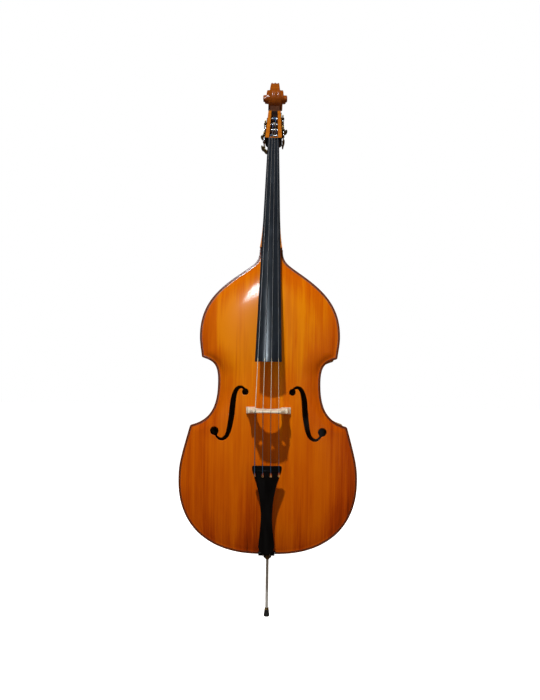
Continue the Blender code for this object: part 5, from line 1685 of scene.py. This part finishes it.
def make_light(name, place, target, size, power, colour=(1, 1, 1), glossy=True, diffuse=True, only=None):
    """A soft light, with its two sizes; only: the one piece that it falls on."""
    data = bpy.data.lights.new(name, "AREA")
    data.energy = power
    data.shape = "RECTANGLE"
    data.size, data.size_y = size
    data.color = colour
    lamp = bpy.data.objects.new(name, data)
    lamp.location = place
    lamp.rotation_euler = (Vector(target) - Vector(place)).to_track_quat("-Z", "Y").to_euler()
    lamp.visible_glossy = glossy
    lamp.visible_diffuse = diffuse
    bpy.context.scene.collection.objects.link(lamp)
    if only:
        lit = bpy.data.collections.new(name + "_falls_on")
        lit.objects.link(bpy.data.objects[only])
        lamp.light_linking.receiver_collection = lit


def make_world():
    """White to the camera, soft as light, and dim in reflections."""
    world = bpy.data.worlds.new("studio")
    world.use_nodes = True
    tree = world.node_tree
    soft = set_inputs(tree.nodes["Background"], Color=(1.0, 0.86, 0.68, 1), Strength=0.20)
    dim = add(tree, "ShaderNodeBackground", Color=(1.0, 0.66, 0.40, 1), Strength=0.085)
    white = add(tree, "ShaderNodeBackground", Color=(1, 1, 1, 1), Strength=1.0)
    rays = add(tree, "ShaderNodeLightPath").outputs
    shown = soft.outputs[0]
    for kind, other in (("Is Glossy Ray", dim), ("Is Camera Ray", white)):
        chosen = add(tree, "ShaderNodeMixShader", Fac=rays[kind], in1=shown, in2=other.outputs[0])
        shown = chosen.outputs[0]
    set_inputs(tree.nodes["World Output"], Surface=shown)
    bpy.context.scene.world = world


def make_lights():
    make_light(
        "key", (-0.50, -3.6, 4.7), (0, -0.1, 0.85), (0.15, 0.15), 222, (1.0, 0.97, 0.92), glossy=False
    )
    make_light(
        "glint", (-0.64, -3.0, 2.36), (0, -0.1, 1.0), (0.50, 0.50), 80, (0.80, 0.91, 1.0), diffuse=False
    )
    make_light(
        "sheen", (-0.80, -3.0, 0.85), (0, -0.15, 1.2), (0.30, 1.9), 74, (0.70, 0.86, 1.0),
        diffuse=False, only="fingerboard_planed",
    )
    make_light("fill", (1.8, -3.0, 1.0), (0, 0, 0.8), (1.6, 1.6), 8, (1.0, 0.88, 0.72), glossy=False)
    make_light("behind", (-1.6, 3.0, 2.6), (0, 0, 1.0), (1.8, 1.8), 45, glossy=False)
    make_light("behind_right", (2.4, 2.2, 1.4), (0, 0, 1.0), (1.4, 1.4), 25, glossy=False)


def make_camera():
    data = bpy.data.cameras.new("camera")
    camera = bpy.data.objects.new("camera", data)
    bpy.context.scene.collection.objects.link(camera)
    camera.location = (0.0725, -2.305, 0.873)
    camera.rotation_euler = (math.radians(90), math.radians(-0.9), 0.0)
    data.sensor_fit = "VERTICAL"
    data.sensor_width = 36
    data.sensor_height = 36
    data.lens = 30.58
    data.shift_x = -0.0267
    data.shift_y = 0.0586
    bpy.context.scene.camera = camera
    bpy.context.scene.view_settings.view_transform = "Standard"


make_camera()
make_floor()
make_top()
make_back()
make_ribs()
make_end_strip()
make_saddle()
make_inside()
make_bridge()
make_fingerboard()
make_nut()
make_neck()
make_pegbox()
make_scroll()
make_tailpiece()
make_tail_cable()
make_strings()
make_plug()
make_rod()
for letter, (side, up, angle) in MACHINES.items():
    make_machine(letter, side, up, angle)
make_world()
make_lights()
